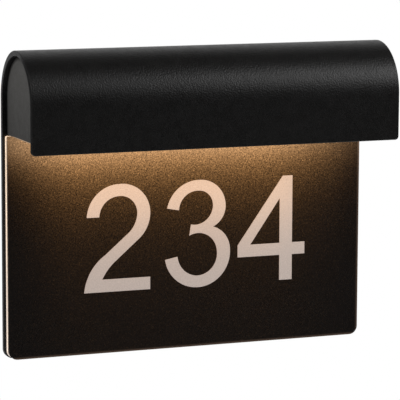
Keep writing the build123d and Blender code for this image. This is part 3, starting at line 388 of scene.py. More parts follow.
def overMould(tree, mould, low, high):
    return remap(tree, mould["Tone"], *mouldRange, low, high)


def plasticFinish(name, look):
    material, tree, shader = newFinish(name, {"Specular IOR Level": look["gloss"], "IOR": 1.49})
    mould = useGroup(tree, mouldGrain, {"Grain size": look["grain"]})
    worn = useGroup(tree, edgeWear, {"Width": 0.3, "Strength": 0.25})
    colour = blendColours(tree, overMould(tree, mould, 0.0, 1.0), look["dark"], look["light"])
    colour = blendColours(tree, worn["Mask"], colour, look["edge"])
    rough = overMould(tree, mould, *look["roughness"])
    feed(tree, shader, {"Base Color": colour, "Roughness": rough})
    roughenBy(tree, shader, mould["Height"], look["bump"], depth=look["grain"] * 0.2)
    return material


def dress(material, *names):
    for name in names:
        nodes[name].data.materials.clear()
        nodes[name].data.materials.append(material)


# profile with hood, end caps and tray: black powder coat; lengths in mm, but foot, arrisHigh and what is
# named between or ends in Between in metres

coatLook = {
    "dark": (0.0005, 0.0004, 0.0004, 1), "light": (0.0044, 0.0038, 0.0035, 1), "gloss": 0.36,
    "roughness": (0.37, 0.41), "grain": 0.95, "depth": 0.25, "bump": 0.5, "patch": 5.0,
    "edge": (0.035, 0.033, 0.031, 1), "wear": 0.5, "wearWidth": 0.5,
    "dustColour": (0.10, 0.098, 0.095, 1), "dust": 0.06, "dustPatch": 7.0,
}
shellLook = {**coatLook, "sawn": {"roughness": 0.95, "between": (-0.040, -0.058), "sideways": (0.6, 0.9)}}
capLook = {
    **coatLook, "dark": (0.049, 0.048, 0.046, 1), "light": (0.066, 0.064, 0.061, 1), "gloss": 0.06,
    "roughness": (0.55, 0.65), "bump": 0.3, "paintedTopLight": 1.55, "paintedTopLightBetween": (-0.024, 0.020),
    "arris": (0.52, 0.35, 0.22, 1), "arrisHigh": 0.0008, "arrisBetween": (-0.008, -0.030),
    "foot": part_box("end_cap_left")[0][2], "radius": 30.4, "axis": 34.0,
    "shade": 0.9, "shadeWithin": (0.5, 4.0), "shadeBack": (-14.0, 0.0),
}
trayLook = {**coatLook, "grain": 0.5, "dust": 0.0, "roughness": (0.5, 0.6)}
dress(coatFinish("shellCoat", shellLook), "body_shell")
dress(capFinish("capCoat", capLook), "end_cap_left", "end_cap_right")
dress(coatFinish("trayCoat", trayLook), "gear_tray")
print("powder coats done")


# number plate: black sand coat with golden grains, lit from the hood above; lengths in mm

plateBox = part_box("number_plate")
plateLook = {
    "dark": (0.0004, 0.0002, 0.0002, 1), "light": (0.0058, 0.0034, 0.0023, 1), "gloss": 0.12,
    "roughness": (0.44, 0.52), "grain": 0.85, "depth": 0.3, "bump": 0.5, "patch": 20.0,
    "gold": (0.30, 0.17, 0.07, 1), "goldTint": 0.05, "goldSize": 0.8, "share": 0.4,
    "glow": (1.0, 0.565, 0.27, 1), "glowDeep": (1.0, 0.46, 0.135, 1), "glowStrength": 0.77,
    "glowTop": -24.0, "glowReach": 21.8, "glowPower": 2.9, "endPower": 2.5, "endPowerDrop": 1.4,
    "middleTone": 0.49, "contrast": 2.0, "grainLight": (0.88, 2.3),
    "rim": (0.085, 0.056, 0.040, 1), "rimWide": 2.0, "rimTop": 1.4,
    "rightEnd": 1000 * plateBox[1][0], "foot": 1000 * plateBox[0][2],
}


def plateFinish(name, look):
    material, tree, shader = newFinish(
        name, {"Specular IOR Level": look["gloss"], "Emission Strength": look["glowStrength"]},
    )
    grain = useGroup(tree, powderGrain, {"Grain size": look["grain"], "Patch size": look["patch"]})
    gold = useGroup(
        tree, brightGrains, {"Grain size": look["grain"] * look["goldSize"], "Share": look["share"]},
    )
    golden = times(tree, gold["Mask"], gold["Level"])
    colour = blendColours(tree, grain["Tone"], look["dark"], look["light"])
    colour = blendColours(tree, times(tree, golden, look["goldTint"]), colour, look["gold"])
    rough = remap(tree, grain["Patches"], 0.0, 1.0, *look["roughness"])
    fall = useGroup(
        tree, lampFall, {"Top": look["glowTop"], "Reach": look["glowReach"], "Power": look["glowPower"]},
    )["Level"]
    fromLamps = sandGlow(tree, fall, grain["Tone"], golden, look)
    glow = blendColours(tree, 1.0, fromLamps, rimGlow(tree, fall, look), "ADD")
    feed(tree, shader, {"Base Color": colour, "Roughness": rough, "Emission Color": glow})
    heights = calc(tree, "ADD", grain["Height"], gold["Height"])
    roughenBy(tree, shader, heights, look["bump"], look["grain"] * look["depth"])
    return material


def sandGlow(tree, fall, tone, golden, look):
    # the lamps' light on the sand; each use of rowEnds has its other end put out of the way
    leftEnd = useGroup(tree, rowEnds, {"Right full": 900.0, "Right none": 1000.0})["Level"]
    rightEnd = useGroup(tree, rowEnds, {"Left full": -900.0, "Left none": -1000.0})["Level"]
    power = calc(tree, "MULTIPLY_ADD", fall, -look["endPowerDrop"], look["endPower"])
    fading = calc(tree, "POWER", leftEnd, power)
    light = times(tree, times(tree, fall, rightEnd), fading)
    contrast = calc(tree, "SUBTRACT", look["contrast"], fall)
    sand = calc(tree, "MULTIPLY_ADD", calc(tree, "SUBTRACT", tone, look["middleTone"]), contrast, 1.0)
    # painted glints: the golden grains catch more of the painted lamp light
    sand = times(tree, sand, remap(tree, golden, 0.0, 1.0, *look["grainLight"]))
    shade = blendColours(tree, fall, look["glowDeep"], look["glow"])
    return blendColours(tree, times(tree, light, sand), unlit, shade)


def rimGlow(tree, fall, look):
    # light that creeps round the cut edges from the guide behind
    place = partsOf(tree, objectPlace(tree))
    offSide = calc(tree, "MULTIPLY_ADD", place["X"], -1000.0, look["rightEnd"])
    offFoot = calc(tree, "MULTIPLY_ADD", place["Z"], 1000.0, -look["foot"])
    near = remap(tree, calc(tree, "MINIMUM", offSide, offFoot), 0.0, look["rimWide"], 1.0, 0.0, True)
    near = times(tree, near, calc(tree, "MULTIPLY_ADD", fall, look["rimTop"], 1.0))
    return dim(tree, look["rim"], near)


dress(plateFinish("plateSand", plateLook), "number_plate", "digit_4_centre")
print("number plate done")


# digits: opal acrylic with a fine matt grain; the lamps' light on them is painted as emission, stronger near
# the lamps; lengths in mm

digitLook = {
    "dark": (0.33, 0.325, 0.315, 1), "light": (0.38, 0.375, 0.365, 1), "gloss": 0.3,
    "roughness": (0.5, 0.62), "grain": 0.9, "depth": 0.1, "bump": 0.25, "patch": 8.0,
    "low": (0.130, 0.074, 0.052, 1), "high": (0.62, 0.355, 0.197, 1), "grainLight": (0.88, 1.08),
    "top": -50.0, "reach": 42.0, "power": 3.2,
}


def digitFinish(name, look):
    material, tree, shader = newFinish(
        name, {"Specular IOR Level": look["gloss"], "Emission Strength": 1.0, "IOR": 1.49},
    )
    grain = useGroup(tree, powderGrain, {"Grain size": look["grain"], "Patch size": look["patch"]})
    colour = blendColours(tree, grain["Tone"], look["dark"], look["light"])
    rough = remap(tree, grain["Patches"], 0.0, 1.0, *look["roughness"])
    # painted light: the lamps' light on the digits, given as emission that fades away from the lamps
    fall = useGroup(tree, lampFall, {"Top": look["top"], "Reach": look["reach"], "Power": look["power"]})
    near = times(tree, fall["Level"], useGroup(tree, rowEnds, {})["Level"])
    glow = blendColours(tree, near, look["low"], look["high"])
    tone = remap(tree, grain["Tone"], 0.0, 1.0, *look["grainLight"])
    glow = dim(tree, glow, tone)
    feed(tree, shader, {"Base Color": colour, "Roughness": rough, "Emission Color": glow})
    roughenBy(tree, shader, grain["Height"], look["bump"], look["depth"])
    return material


dress(digitFinish("digitOpal", digitLook), "digit_2", "digit_3", "digit_4")
print("digits done")


# light guide: clear acrylic whose cut edges shine with the light fed in at its top; lengths in mm

guideLook = {
    "tint": (0.95, 0.93, 0.90, 1), "edgeTint": (1, 0.97, 0.93, 1), "clear": 0.7, "roughness": (0.04, 0.32),
    "faceGlow": (0.30, 0.22, 0.15, 1), "edgeGlow": (0.47, 0.45, 0.46, 1),
    "edgeGlowTop": (0.62, 0.46, 0.32, 1), "strength": 0.9, "top": -20.0, "reach": 90.0,
    "edgeBetween": (0.4, 0.9), "sawLight": (0.85, 1.1), "bump": 0.15, "depth": 0.05,
    "plateShadeTint": (0.01, 0.008, 0.006, 1), "plateShadeGlow": (0.012, 0.007, 0.004, 1), "plateShadeCover": 0.95,
    "plateShadeBetween": (6.6, 7.2),
}


def guideFinish(name, look):
    material, tree, shader = newFinish(
        name, {"Transmission Weight": look["clear"], "IOR": 1.49, "Emission Strength": look["strength"]},
    )
    facing = calc(tree, "ABSOLUTE", partsOf(tree, objectNormal(tree))["Y"])
    onEdge = remap(tree, facing, *look["edgeBetween"], 1.0, 0.0, True)
    saw = useGroup(tree, rolledLines, {"Line length": 60.0, "Line width": 0.5})
    fall = useGroup(tree, lampFall, {"Top": look["top"], "Reach": look["reach"], "Power": 2.0})
    edgeGlow = blendColours(tree, fall["Level"], look["edgeGlow"], look["edgeGlowTop"])
    glow = blendColours(tree, onEdge, look["faceGlow"], edgeGlow)
    light = remap(tree, saw["Tone"], *rolledRange, *look["sawLight"])
    glow = dim(tree, glow, light)
    # painted shade: a dark line along the front arris, where the number plate lies against it
    depth = times(tree, partsOf(tree, objectPlace(tree))["Y"], -1000.0)
    front = remap(tree, depth, *look["plateShadeBetween"], 0.0, look["plateShadeCover"], True)
    inPlateShade = times(tree, onEdge, front)
    body = blendColours(tree, onEdge, look["tint"], look["edgeTint"])
    feed(tree, shader, {
        "Base Color": blendColours(tree, inPlateShade, body, look["plateShadeTint"]),
        "Roughness": remap(tree, onEdge, 0.0, 1.0, *look["roughness"]),
        "Emission Color": blendColours(tree, inPlateShade, glow, look["plateShadeGlow"]),
    })
    roughenBy(tree, shader, saw["Height"], look["bump"], look["depth"])
    return material


dress(guideFinish("guideAcrylic", guideLook), "light_guide")

filmLook = {
    "dark": (0.82, 0.82, 0.81, 1), "light": (0.9, 0.9, 0.89, 1), "edge": grey(0.93),
    "grain": 0.2, "bump": 0.1, "gloss": 0.3, "roughness": (0.5, 0.6),
}
dress(plasticFinish("filmWhite", filmLook), "reflector_film")
print("light guide done")


# diffuser: opal lens with a faint bright spot under each LED; the row's lengths in metres, the others in mm

lensLook = {
    "dark": (0.80, 0.75, 0.68, 1), "light": (0.85, 0.80, 0.72, 1), "roughness": (0.22, 0.34),
    "grain": 0.4, "bump": 0.15, "depth": 0.05, "glow": (1.0, 0.66, 0.38, 1), "strength": 1.7, "spot": 0.12,
    "pitch": 0.012, "rowDepth": 0.027, "rowWide": 0.012, "offRow": 0.82,
}


def lensFinish(name, look):
    material, tree, shader = newFinish(name, {"Emission Strength": look["strength"], "IOR": 1.49})
    place = partsOf(tree, objectPlace(tree))
    wave = calc(tree, "COSINE", times(tree, place["X"], 2 * math.pi / look["pitch"]))
    offRow = calc(tree, "ABSOLUTE", calc(tree, "ADD", place["Y"], look["rowDepth"]))
    nearRow = remap(tree, offRow, 0.0, look["rowWide"], 1.0, 0.0, True)
    spots = calc(tree, "MULTIPLY_ADD", wave, look["spot"], 1.0)
    light = times(tree, spots, remap(tree, nearRow, 0.0, 1.0, look["offRow"], 1.0))
    glow = dim(tree, look["glow"], light)
    mould = useGroup(tree, mouldGrain, {"Grain size": look["grain"]})
    colour = blendColours(tree, mould["Tone"], look["dark"], look["light"])
    rough = overMould(tree, mould, *look["roughness"])
    feed(tree, shader, {"Base Color": colour, "Roughness": rough, "Emission Color": glow})
    roughenBy(tree, shader, mould["Height"], look["bump"], look["depth"])
    return material


dress(lensFinish("lensOpal", lensLook), "diffuser")
print("diffuser done")


# sheet metal and contacts; lengths in mm

metalLooks = {
    "aluminiumSheet": {
        "dark": (0.50, 0.50, 0.51, 1), "light": (0.68, 0.68, 0.69, 1), "edge": grey(0.8),
        "lineLength": 30.0, "lineWidth": 0.3, "bump": 0.15, "roughness": (0.3, 0.42),
        "on": ["led_carrier", "plate_standoffs"],
    },
    "zincSheet": {
        "dark": (0.40, 0.41, 0.42, 1), "light": (0.60, 0.61, 0.62, 1), "edge": (0.75, 0.75, 0.76, 1),
        "lineLength": 6.0, "lineWidth": 0.6, "bump": 0.12, "roughness": (0.28, 0.45),
        "on": ["wall_bracket", "clamp_plates"],
    },
    "brassPressed": {
        "dark": (0.52, 0.37, 0.13, 1), "light": (0.72, 0.54, 0.22, 1), "edge": (0.85, 0.7, 0.4, 1),
        "lineLength": 3.0, "lineWidth": 0.3, "bump": 0.1, "roughness": (0.22, 0.34),
        "on": ["terminal_clamps"],
    },
    "tinnedCopper": {
        "dark": (0.55, 0.55, 0.54, 1), "light": (0.74, 0.74, 0.73, 1), "edge": (0.85, 0.85, 0.84, 1),
        "lineLength": 3.0, "lineWidth": 0.4, "bump": 0.1, "roughness": (0.16, 0.3), "on": ["earth_ring"],
    },
}
for name, look in metalLooks.items():
    dress(metalFinish(name, look), *look["on"])
print("metals done")


# moulded parts, rubbers and wires; grain in mm

wireLook = {"grain": 0.4, "bump": 0.1, "gloss": 0.5, "roughness": (0.3, 0.4)}
plasticLooks = {
    "blockWhite": {
        "dark": (0.66, 0.66, 0.64, 1), "light": (0.76, 0.76, 0.74, 1), "edge": (0.85, 0.85, 0.83, 1),
        "grain": 0.3, "bump": 0.2, "gloss": 0.5, "roughness": (0.32, 0.42),
        "on": ["terminal_block", "cord_anchor", "led_connector"],
    },
    "caseGrey": {
        "dark": (0.56, 0.56, 0.55, 1), "light": (0.66, 0.66, 0.65, 1), "edge": (0.75, 0.75, 0.74, 1),
        "grain": 0.4, "bump": 0.35, "gloss": 0.4, "roughness": (0.48, 0.6),
        "on": ["driver_case", "driver_lid"],
    },
    "rubberBlack": {
        "dark": grey(0.010), "light": grey(0.022), "edge": grey(0.05),
        "grain": 0.3, "bump": 0.3, "gloss": 0.3, "roughness": (0.6, 0.75),
        "on": ["access_plugs", "seal_strip"],
    },
    "siliconeGrey": {
        "dark": grey(0.26), "light": grey(0.32), "edge": grey(0.4),
        "grain": 0.3, "bump": 0.15, "gloss": 0.4, "roughness": (0.45, 0.55), "on": ["diffuser_gasket"],
    },
    "wireBrown": {
        **wireLook, "dark": (0.12, 0.045, 0.018, 1), "light": (0.17, 0.065, 0.026, 1),
        "edge": (0.2, 0.09, 0.04, 1), "on": ["wire_live"],
    },
    "wireBlue": {
        **wireLook, "dark": (0.015, 0.07, 0.30, 1), "light": (0.025, 0.11, 0.42, 1),
        "edge": (0.06, 0.16, 0.5, 1), "on": ["wire_neutral"],
    },
    "wireRed": {
        **wireLook, "dark": (0.40, 0.012, 0.010, 1), "light": (0.55, 0.02, 0.016, 1),
        "edge": (0.6, 0.06, 0.05, 1), "on": ["wire_led_plus"],
    },
    "wireBlack": {
        **wireLook, "dark": grey(0.010), "light": grey(0.02), "edge": grey(0.04), "on": ["wire_led_minus"],
    },
}
for name, look in plasticLooks.items():
    dress(plasticFinish(name, look), *look["on"])


# earth wire: yellow bands wound round green; lengths in mm

earthLook = {
    "green": (0.03, 0.20, 0.02, 1), "yellow": (0.65, 0.50, 0.02, 1), "bandsPerMetre": 170.0, "waver": 0.4,
    "border": (0.55, 0.65), "grain": 0.4, "bump": 0.1, "depth": 0.05, "roughness": (0.3, 0.42),
}


def earthFinish(name, look):
    material, tree, shader = newFinish(name, {"IOR": 1.49})
    bands = addNode(
        tree, "TexWave",
        {"Vector": objectPlace(tree), "Scale": look["bandsPerMetre"], "Distortion": look["waver"]},
        bands_direction="DIAGONAL",
    ).outputs["Fac"]
    colour = blendColours(tree, fade(tree, bands, *look["border"]), look["green"], look["yellow"])
    mould = useGroup(tree, mouldGrain, {"Grain size": look["grain"]})
    rough = overMould(tree, mould, *look["roughness"])
    feed(tree, shader, {"Base Color": colour, "Roughness": rough})
    roughenBy(tree, shader, mould["Height"], look["bump"], look["depth"])
    return material


dress(earthFinish("wireGreenYellow", earthLook), "wire_earth")


# circuit boards: solder mask over copper tracks that stand out as paler, slightly raised lines; in mm

boardLook = {"roughness": (0.22, 0.36), "grain": 0.5, "grainShare": 0.2, "bump": 0.3, "depth": 0.05}
boardLooks = {
    "maskWhite": {
        **boardLook, "mask": (0.74, 0.74, 0.72, 1), "track": (0.80, 0.80, 0.78, 1),
        "tracksPerMetre": 160.0, "on": ["led_board"],
    },
    "maskGreen": {
        **boardLook, "mask": (0.008, 0.07, 0.03, 1), "track": (0.02, 0.15, 0.06, 1),
        "tracksPerMetre": 240.0, "on": ["driver_board"],
    },
}


def boardFinish(name, look):
    material, tree, shader = newFinish(name, {"Specular IOR Level": 0.5})
    gaps = addNode(
        tree, "TexBrick",
        {"Vector": objectPlace(tree), "Scale": look["tracksPerMetre"], "Mortar Size": 0.03,
         "Brick Width": 1.7, "Row Height": 0.42},
    ).outputs["Fac"]
    mould = useGroup(tree, mouldGrain, {"Grain size": look["grain"]})
    colour = blendColours(tree, gaps, look["track"], look["mask"])
    rough = overMould(tree, mould, *look["roughness"])
    feed(tree, shader, {"Base Color": colour, "Roughness": rough})
    fine = times(tree, mould["Height"], look["grainShare"])
    roughenBy(tree, shader, calc(tree, "MULTIPLY_ADD", gaps, -1.0, fine), look["bump"], look["depth"])
    return material


for name, look in boardLooks.items():
    dress(boardFinish(name, look), *look["on"])
print("plastics and boards done")


# surfaces from grids of points

# where a turned surface's own x, y and height go in the sign's frame, for each way that it can face
facings = {
    "wall": [[1, 0, 0], [0, 0, 1], [0, -1, 0]],
    "street": [[1, 0, 0], [0, 0, -1], [0, 1, 0]],
    "down": [[1, 0, 0], [0, -1, 0], [0, 0, -1]],
    "up": [[1, 0, 0], [0, 1, 0], [0, 0, 1]],
}


def face(points, way):
    return points @ np.array(facings[way]).T


def fullTurn(around):
    return np.linspace(0, 2 * np.pi, around, endpoint=False)


def turnedSurface(radius, height, angle):
    # points (r cos a, r sin a, h): a row for each radius and height, a column for each angle
    across, along = radius * np.cos(angle), radius * np.sin(angle)
    return np.stack(np.broadcast_arrays(across, along, height), axis=-1)


def turnAbout(points, angle):
    c, s = math.cos(angle), math.sin(angle)
    return points @ np.array([[c, s, 0], [-s, c, 0], [0, 0, 1]])


def gridMesh(points):
    # points is rows by columns by 3: four neighbours make a face, and the columns meet round the axis
    number = np.arange(points.shape[0] * points.shape[1]).reshape(points.shape[:2])
    ahead = np.roll(number, -1, axis=1)
    faces = np.stack([number[:-1], ahead[:-1], ahead[1:], number[1:]], axis=-1).reshape(-1, 4)
    return points.reshape(-1, 3), faces


def joinMeshes(parts):
    corners, faces, start = [], [], 0
    for vertices, quads in parts:
        corners.append(vertices)
        faces.append(quads + start)
        start += len(vertices)
    return np.concatenate(corners), np.concatenate(faces)


def merge(mesh):
    # points that fall together at a pole become one, and the faces there lose a corner
    work = bmesh.new()
    work.from_mesh(mesh)
    bmesh.ops.remove_doubles(work, verts=work.verts, dist=1e-6)        # metres
    bmesh.ops.recalc_face_normals(work, faces=work.faces)
    work.to_mesh(mesh)
    work.free()


def makeMesh(name, vertices, faces, material, attributes):
    mesh = bpy.data.meshes.new(name)
    mesh.from_pydata(vertices.tolist(), [], faces.tolist())
    for label, values in attributes.items():
        mesh.attributes.new(label, "FLOAT", "POINT").data.foreach_set("value", values)
    merge(mesh)
    mesh.materials.append(material)
    return mesh


def addToScene(name, data):
    item = bpy.data.objects.new(name, data)
    bpy.context.scene.collection.objects.link(item)
    return item


def makePiece(name, surface, material, body, replaced, attributes=None):
    mesh = makeMesh(name, *surface, material, attributes or {})
    mesh.shade_smooth()
    mesh.set_sharp_from_angle(angle=math.radians(35))
    piece = addToScene(name, mesh)
    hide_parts(replaced)
    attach(piece, body)


# screws, at the places of their plain solids; all sizes in mm

# the fine shape that all of them share; rings is for each turn of the thread, onward the angle in radians
# from one screw of a set to the next
cutLook = {
    "socketEdge": 0.06, "socketLip": 0.10, "floorRing": 0.6, "headEdge": 0.08, "rimTop": 0.06,
    "rimFoot": 0.16, "underHigh": 0.04, "underWide": 0.05, "fillet": 0.1, "rings": 6, "step": 0.02,
    "threadDeep": 0.16, "threadCrest": 0.04, "sawSteep": 1.6, "sawFoot": 0.25, "runIn": 0.6,
    "runOut": 0.5, "bare": 0.4, "point": 0.45, "onward": 0.7,
}


def sunkHead(head, shank):
    edge, rimTop, rimFoot = cutLook["headEdge"], cutLook["rimTop"], cutLook["rimFoot"]
    return [(head - edge, 0.0), (head, -rimTop), (head, -rimFoot), (shank, -rimFoot - (head - shank))]


def roundHead(head, shank, rise):
    # the crown is (0.45 + 0.55 cos a) of the head wide and (0.12 + 0.88 sin a) of its rise high
    turn = np.radians(np.linspace(90, 8, 10))
    crown = np.stack([head * (0.45 + 0.55 * np.cos(turn)), rise * (0.12 + 0.88 * np.sin(turn))], axis=-1)
    high, wide, fillet = cutLook["underHigh"], cutLook["underWide"], cutLook["fillet"]
    return [*crown, (head, high), (head - wide, 0.0), (shank + fillet, 0.0), (shank, -fillet)]


def screwSurface(look, around=30):
    # Turned surface. In the socket r follows a hexagon, r / cos(a folded into 60 degrees). On the thread r
    # swells by a saw of (h / pitch + a / full turn), and fades in and out at its ends. Height 0 is where the
    # head's top lies flush or its underside sits.
    rise, shank, length, bore = look.get("rise", 0.0), look["shank"], look["length"], look["socket"]
    angle = fullTurn(around)
    floor = rise - look["deep"]
    wallTop = rise - cutLook["socketEdge"]
    inner = cutLook["floorRing"] * bore
    hexagonal = np.array([(0.0, floor), (inner, floor), (bore, floor), (bore, wallTop)])
    folded = (angle + np.pi / 6) % (np.pi / 3) - np.pi / 6
    toCorner = math.cos(math.pi / 6) / np.cos(folded)
    socket = turnedSurface(hexagonal[:, :1] * toCorner, hexagonal[:, 1:], angle)

    head = roundHead(look["head"], shank, rise) if rise > 0 else sunkHead(look["head"], shank)
    outline = np.array([(bore + cutLook["socketLip"], rise), *head])
    outside = turnedSurface(outline[:, :1], outline[:, 1:], angle)

    top = outline[-1, 1]
    rings, step, point = cutLook["rings"], cutLook["step"], cutLook["point"]
    count = max(rings, int(rings * (length + top) / look["pitch"]))
    height = np.linspace(top - step, -length + point, count)[:, None]
    saw = (height / look["pitch"] + angle / (2 * np.pi)) % 1.0
    ridge = np.clip(cutLook["sawSteep"] * (1 - np.abs(2 * saw - 1)) - cutLook["sawFoot"], 0, 1)
    fadeIn = np.clip((top - height) / cutLook["runIn"], 0, 1)
    fadeOut = np.clip((height + length - cutLook["bare"]) / cutLook["runOut"], 0, 1)
    swell = (cutLook["threadDeep"] + cutLook["threadCrest"]) * ridge * fadeIn * fadeOut
    thread = turnedSurface(shank - cutLook["threadDeep"] + swell, height, angle)

    tip = np.array([[shank - point, -length + step], [0.0, -length]])
    points = np.concatenate([socket, outside, thread, turnedSurface(tip[:, :1], tip[:, 1:], angle)])
    built = []
    for index, (x, depth, level) in enumerate(look["places"]):
        turned = face(turnAbout(points, cutLook["onward"] * index), look["faces"])
        built.append(gridMesh((turned + np.array([x, -depth, level])) / 1000))
    return joinMeshes(built)


zincLook = {
    "dark": grey(0.46), "light": (0.64, 0.64, 0.63, 1), "edge": grey(0.78),
    "lineLength": 2.0, "lineWidth": 0.5, "bump": 0.08, "roughness": (0.22, 0.36),
}
blackLook = {**trayLook, "grain": 0.25, "bump": 0.25, "wear": 0.8, "roughness": (0.34, 0.44)}
screwFinishes = {
    "zinc_screw": metalFinish("zincScrew", zincLook), "black_screw": coatFinish("blackScrew", blackLook),
}

# places are x, depth from the wall, height
small = {"shank": 1.25, "pitch": 0.5}
smallSunk = {**small, "faces": "wall", "head": 2.6, "socket": 1.0, "deep": 1.2}
smallWide = {**small, "faces": "up", "head": 2.8, "rise": 1.8, "socket": 1.2, "deep": 1.0}
smallGrip = {**small, "faces": "up", "head": 2.0, "rise": 1.4, "socket": 0.9, "deep": 0.8}
earthHead = {"pitch": 0.5, "head": 3.0, "rise": 2.0, "socket": 1.3, "deep": 1.1}
screwLooks = {
    "cap_screws": {**smallSunk, "length": 9.5, "places": [(-122, 0, -4.5), (122, 0, -4.5)]},
    "plate_screws": {
        **smallSunk, "length": 7.7, "places": [(x, 0, z) for x in (-110, 0, 110) for z in (-48, -160)],
    },
    "carrier_screws": {
        "faces": "wall", "head": 3.1, "shank": 1.5, "length": 8.0, "socket": 1.2, "deep": 1.4, "pitch": 0.6,
        "places": [(-111, 0, -5.5), (111, 0, -5.5)],
    },
    "tray_screws": {
        **smallWide, "faces": "down", "length": 7.0, "slot": "black_screw",
        "places": [(x, 58.5, -24.5) for x in (-104, -35, 35, 104)] + [(-122, 52, -24.5), (122, 52, -24.5)],
    },
    "board_screws": {
        **small, "faces": "down", "head": 2.6, "rise": 1.6, "length": 3.4, "socket": 1.1, "deep": 0.9,
        "places": [(x, 16, -13.6) for x in (-108, -36, 36, 108)],
    },
    "driver_screws": {**smallWide, "length": 4.9, "places": [(-10, 29, -7), (60, 29, -7)]},
    "terminal_screws": {
        **smallGrip, "length": 1.8,
        "places": [(x, 28 + side * 4.4, 1.4) for x in (-52, -42, -32) for side in (-1, 1)],
    },
    "terminal_fixing_screw": {**smallGrip, "length": 13.3, "places": [(-42, 28, 1.4)]},
    "anchor_screws": {
        **small, "faces": "up", "head": 2.3, "rise": 1.6, "length": 10.4, "socket": 1.1, "deep": 0.9,
        "places": [(-19, 6, -1.5), (-19, 18, -1.5)],
    },
    "earth_screw": {**earthHead, "faces": "up", "shank": 1.25, "length": 2.7, "places": [(-71, 30, -9.2)]},
    "bracket_earth_screw": {
        **earthHead, "faces": "street", "shank": 1.45, "length": 2.0, "body": "bracket",
        "places": [(35, 2, 0)],
    },
    "clamp_screws": {
        "faces": "down", "head": 3.6, "rise": 2.6, "shank": 1.95, "length": 9.0, "socket": 1.6, "deep": 1.4,
        "pitch": 0.7, "places": [(-90, 46, -12), (90, 46, -12)],
    },
}
for name, look in screwLooks.items():
    slot = look.get("slot", "zinc_screw")
    makePiece(name + "_cut", screwSurface(look), screwFinishes[slot], look.get("body", "lamp"), name)
print("screws done:", len(screwLooks), "sets")


# LEDs: white frame with a recessed yellow lens; sizes in mm

ledLook = {
    "long": 3.5, "wide": 2.8, "thick": 0.8, "pitch": 12.0, "count": 19, "height": -13.6,
    "frame": (0.86, 0.86, 0.84, 1), "frameDark": (0.78, 0.78, 0.76, 1), "phosphor": (0.90, 0.62, 0.10, 1),
    "glow": (1.0, 0.72, 0.42, 1), "strength": 6.0, "grain": 0.2, "roughness": (0.25, 0.4),
    "rows": {"guide_leds": 6.05, "downlight_leds": 27.0},
}


def ledSurface(look, depth):
    # rings of a rounded rectangle, |x/a|^5 + |y/b|^5 = 1, that shrink from the foot over the rim to the lens
    angle = fullTurn(16)
    power = 2 / 5
    across = np.sign(np.cos(angle)) * np.abs(np.cos(angle)) ** power * look["long"] / 2
    along = np.sign(np.sin(angle)) * np.abs(np.sin(angle)) ** power * look["wide"] / 2
    size = np.array([0.0, 0.97, 1.0, 1.0, 0.95, 0.80, 0.72, 0.0])[:, None]
    drop = np.array([0.0, 0.0, 0.05, 0.92, 1.0, 1.0, 0.78, 0.84])[:, None] * look["thick"]
    onLens = np.array([0, 0, 0, 0, 0, 0, 1, 1], float)
    rings = np.stack(np.broadcast_arrays(size * across, size * along, look["height"] - drop), axis=-1)
    shifts = (np.arange(look["count"]) - (look["count"] - 1) / 2) * look["pitch"]
    built = [gridMesh((rings + np.array([shift, -depth, 0])) / 1000) for shift in shifts]
    return joinMeshes(built), np.tile(np.repeat(onLens, len(angle)), look["count"])


def ledFinish(name, look):
    material, tree, shader = newFinish(name, {"Emission Strength": look["strength"], "IOR": 1.5})
    lens = addNode(tree, "Attribute", attribute_name="lens").outputs["Fac"]
    mould = useGroup(tree, mouldGrain, {"Grain size": look["grain"]})
    pale = blendColours(tree, mould["Tone"], look["frameDark"], look["frame"])
    feed(tree, shader, {
        "Base Color": blendColours(tree, lens, pale, look["phosphor"]),
        "Roughness": overMould(tree, mould, *look["roughness"]),
        "Emission Color": blendColours(tree, lens, unlit, look["glow"]),
    })
    return material


ledPackage = ledFinish("ledPackage", ledLook)
for name, depth in ledLook["rows"].items():
    surface, onLens = ledSurface(ledLook, depth)
    makePiece(name + "_chips", surface, ledPackage, "lamp", name, {"lens": onLens})
print("LEDs done")


# cable bush: rubber ring with a groove for the bracket's sheet and gripping ribs inside; sizes in mm

bushLook = {
    "bore": 4.0, "ribs": 3, "ribDeep": 0.5, "groove": 7.95, "flange": 10.0, "sheet": 2.0, "flangeThick": 2.0,
    "length": 5.0, "backRound": 0.5, "frontRound": 0.6, "mouth": 0.3, "chamfer": 0.3, "ease": 0.35,
    "step": 0.2, "nose": 1.6,
    "dark": grey(0.010), "light": grey(0.024), "edge": grey(0.05),
    "grain": 0.3, "bump": 0.3, "gloss": 0.35, "roughness": (0.55, 0.7),
}


def bushSurface(look, around=72):
    # closed section of (radius, depth) turned round the cable's axis; inside, r = bore + rib * sin^2
    bore, groove, flange, length = look["bore"], look["groove"], look["flange"], look["length"]
    sheet, mouth, back, front = look["sheet"], look["mouth"], look["backRound"], look["frontRound"]
    chamfer, ease = look["chamfer"], look["ease"]
    rim = sheet + look["flangeThick"]
    bend = np.radians(np.linspace(0, 90, 6))
    backBend = np.stack([flange - back + back * np.sin(bend), sheet + back - back * np.cos(bend)], -1)
    frontBend = np.stack([flange - front + front * np.cos(bend), rim - front + front * np.sin(bend)], -1)
    inside = np.linspace(length - mouth, mouth, 31)
    wave = np.sin(look["ribs"] * np.pi * (inside - mouth) / (length - 2 * mouth))
    ribs = np.stack([bore + look["ribDeep"] * wave**2, inside], axis=-1)
    foot = (bore + ease, 0.0)
    section = np.array([
        foot, (groove - chamfer, 0.0), (groove, chamfer), (groove, sheet), *backBend, *frontBend,
        (groove + look["step"], rim), (groove - chamfer, rim + ease), (bore + look["nose"], length),
        (bore + chamfer, length), *ribs, foot,
    ])
    return gridMesh(face(turnedSurface(section[:, :1], section[:, 1:], fullTurn(around)), "street") / 1000)


bushRubber = plasticFinish("bushRubber", bushLook)
makePiece("cable_bush_ring", bushSurface(bushLook), bushRubber, "bracket", "cable_bush")
print("cable bush done")


# floor: pale paper that is white to the eye at its rim and keeps the shadow below the sign; in metres

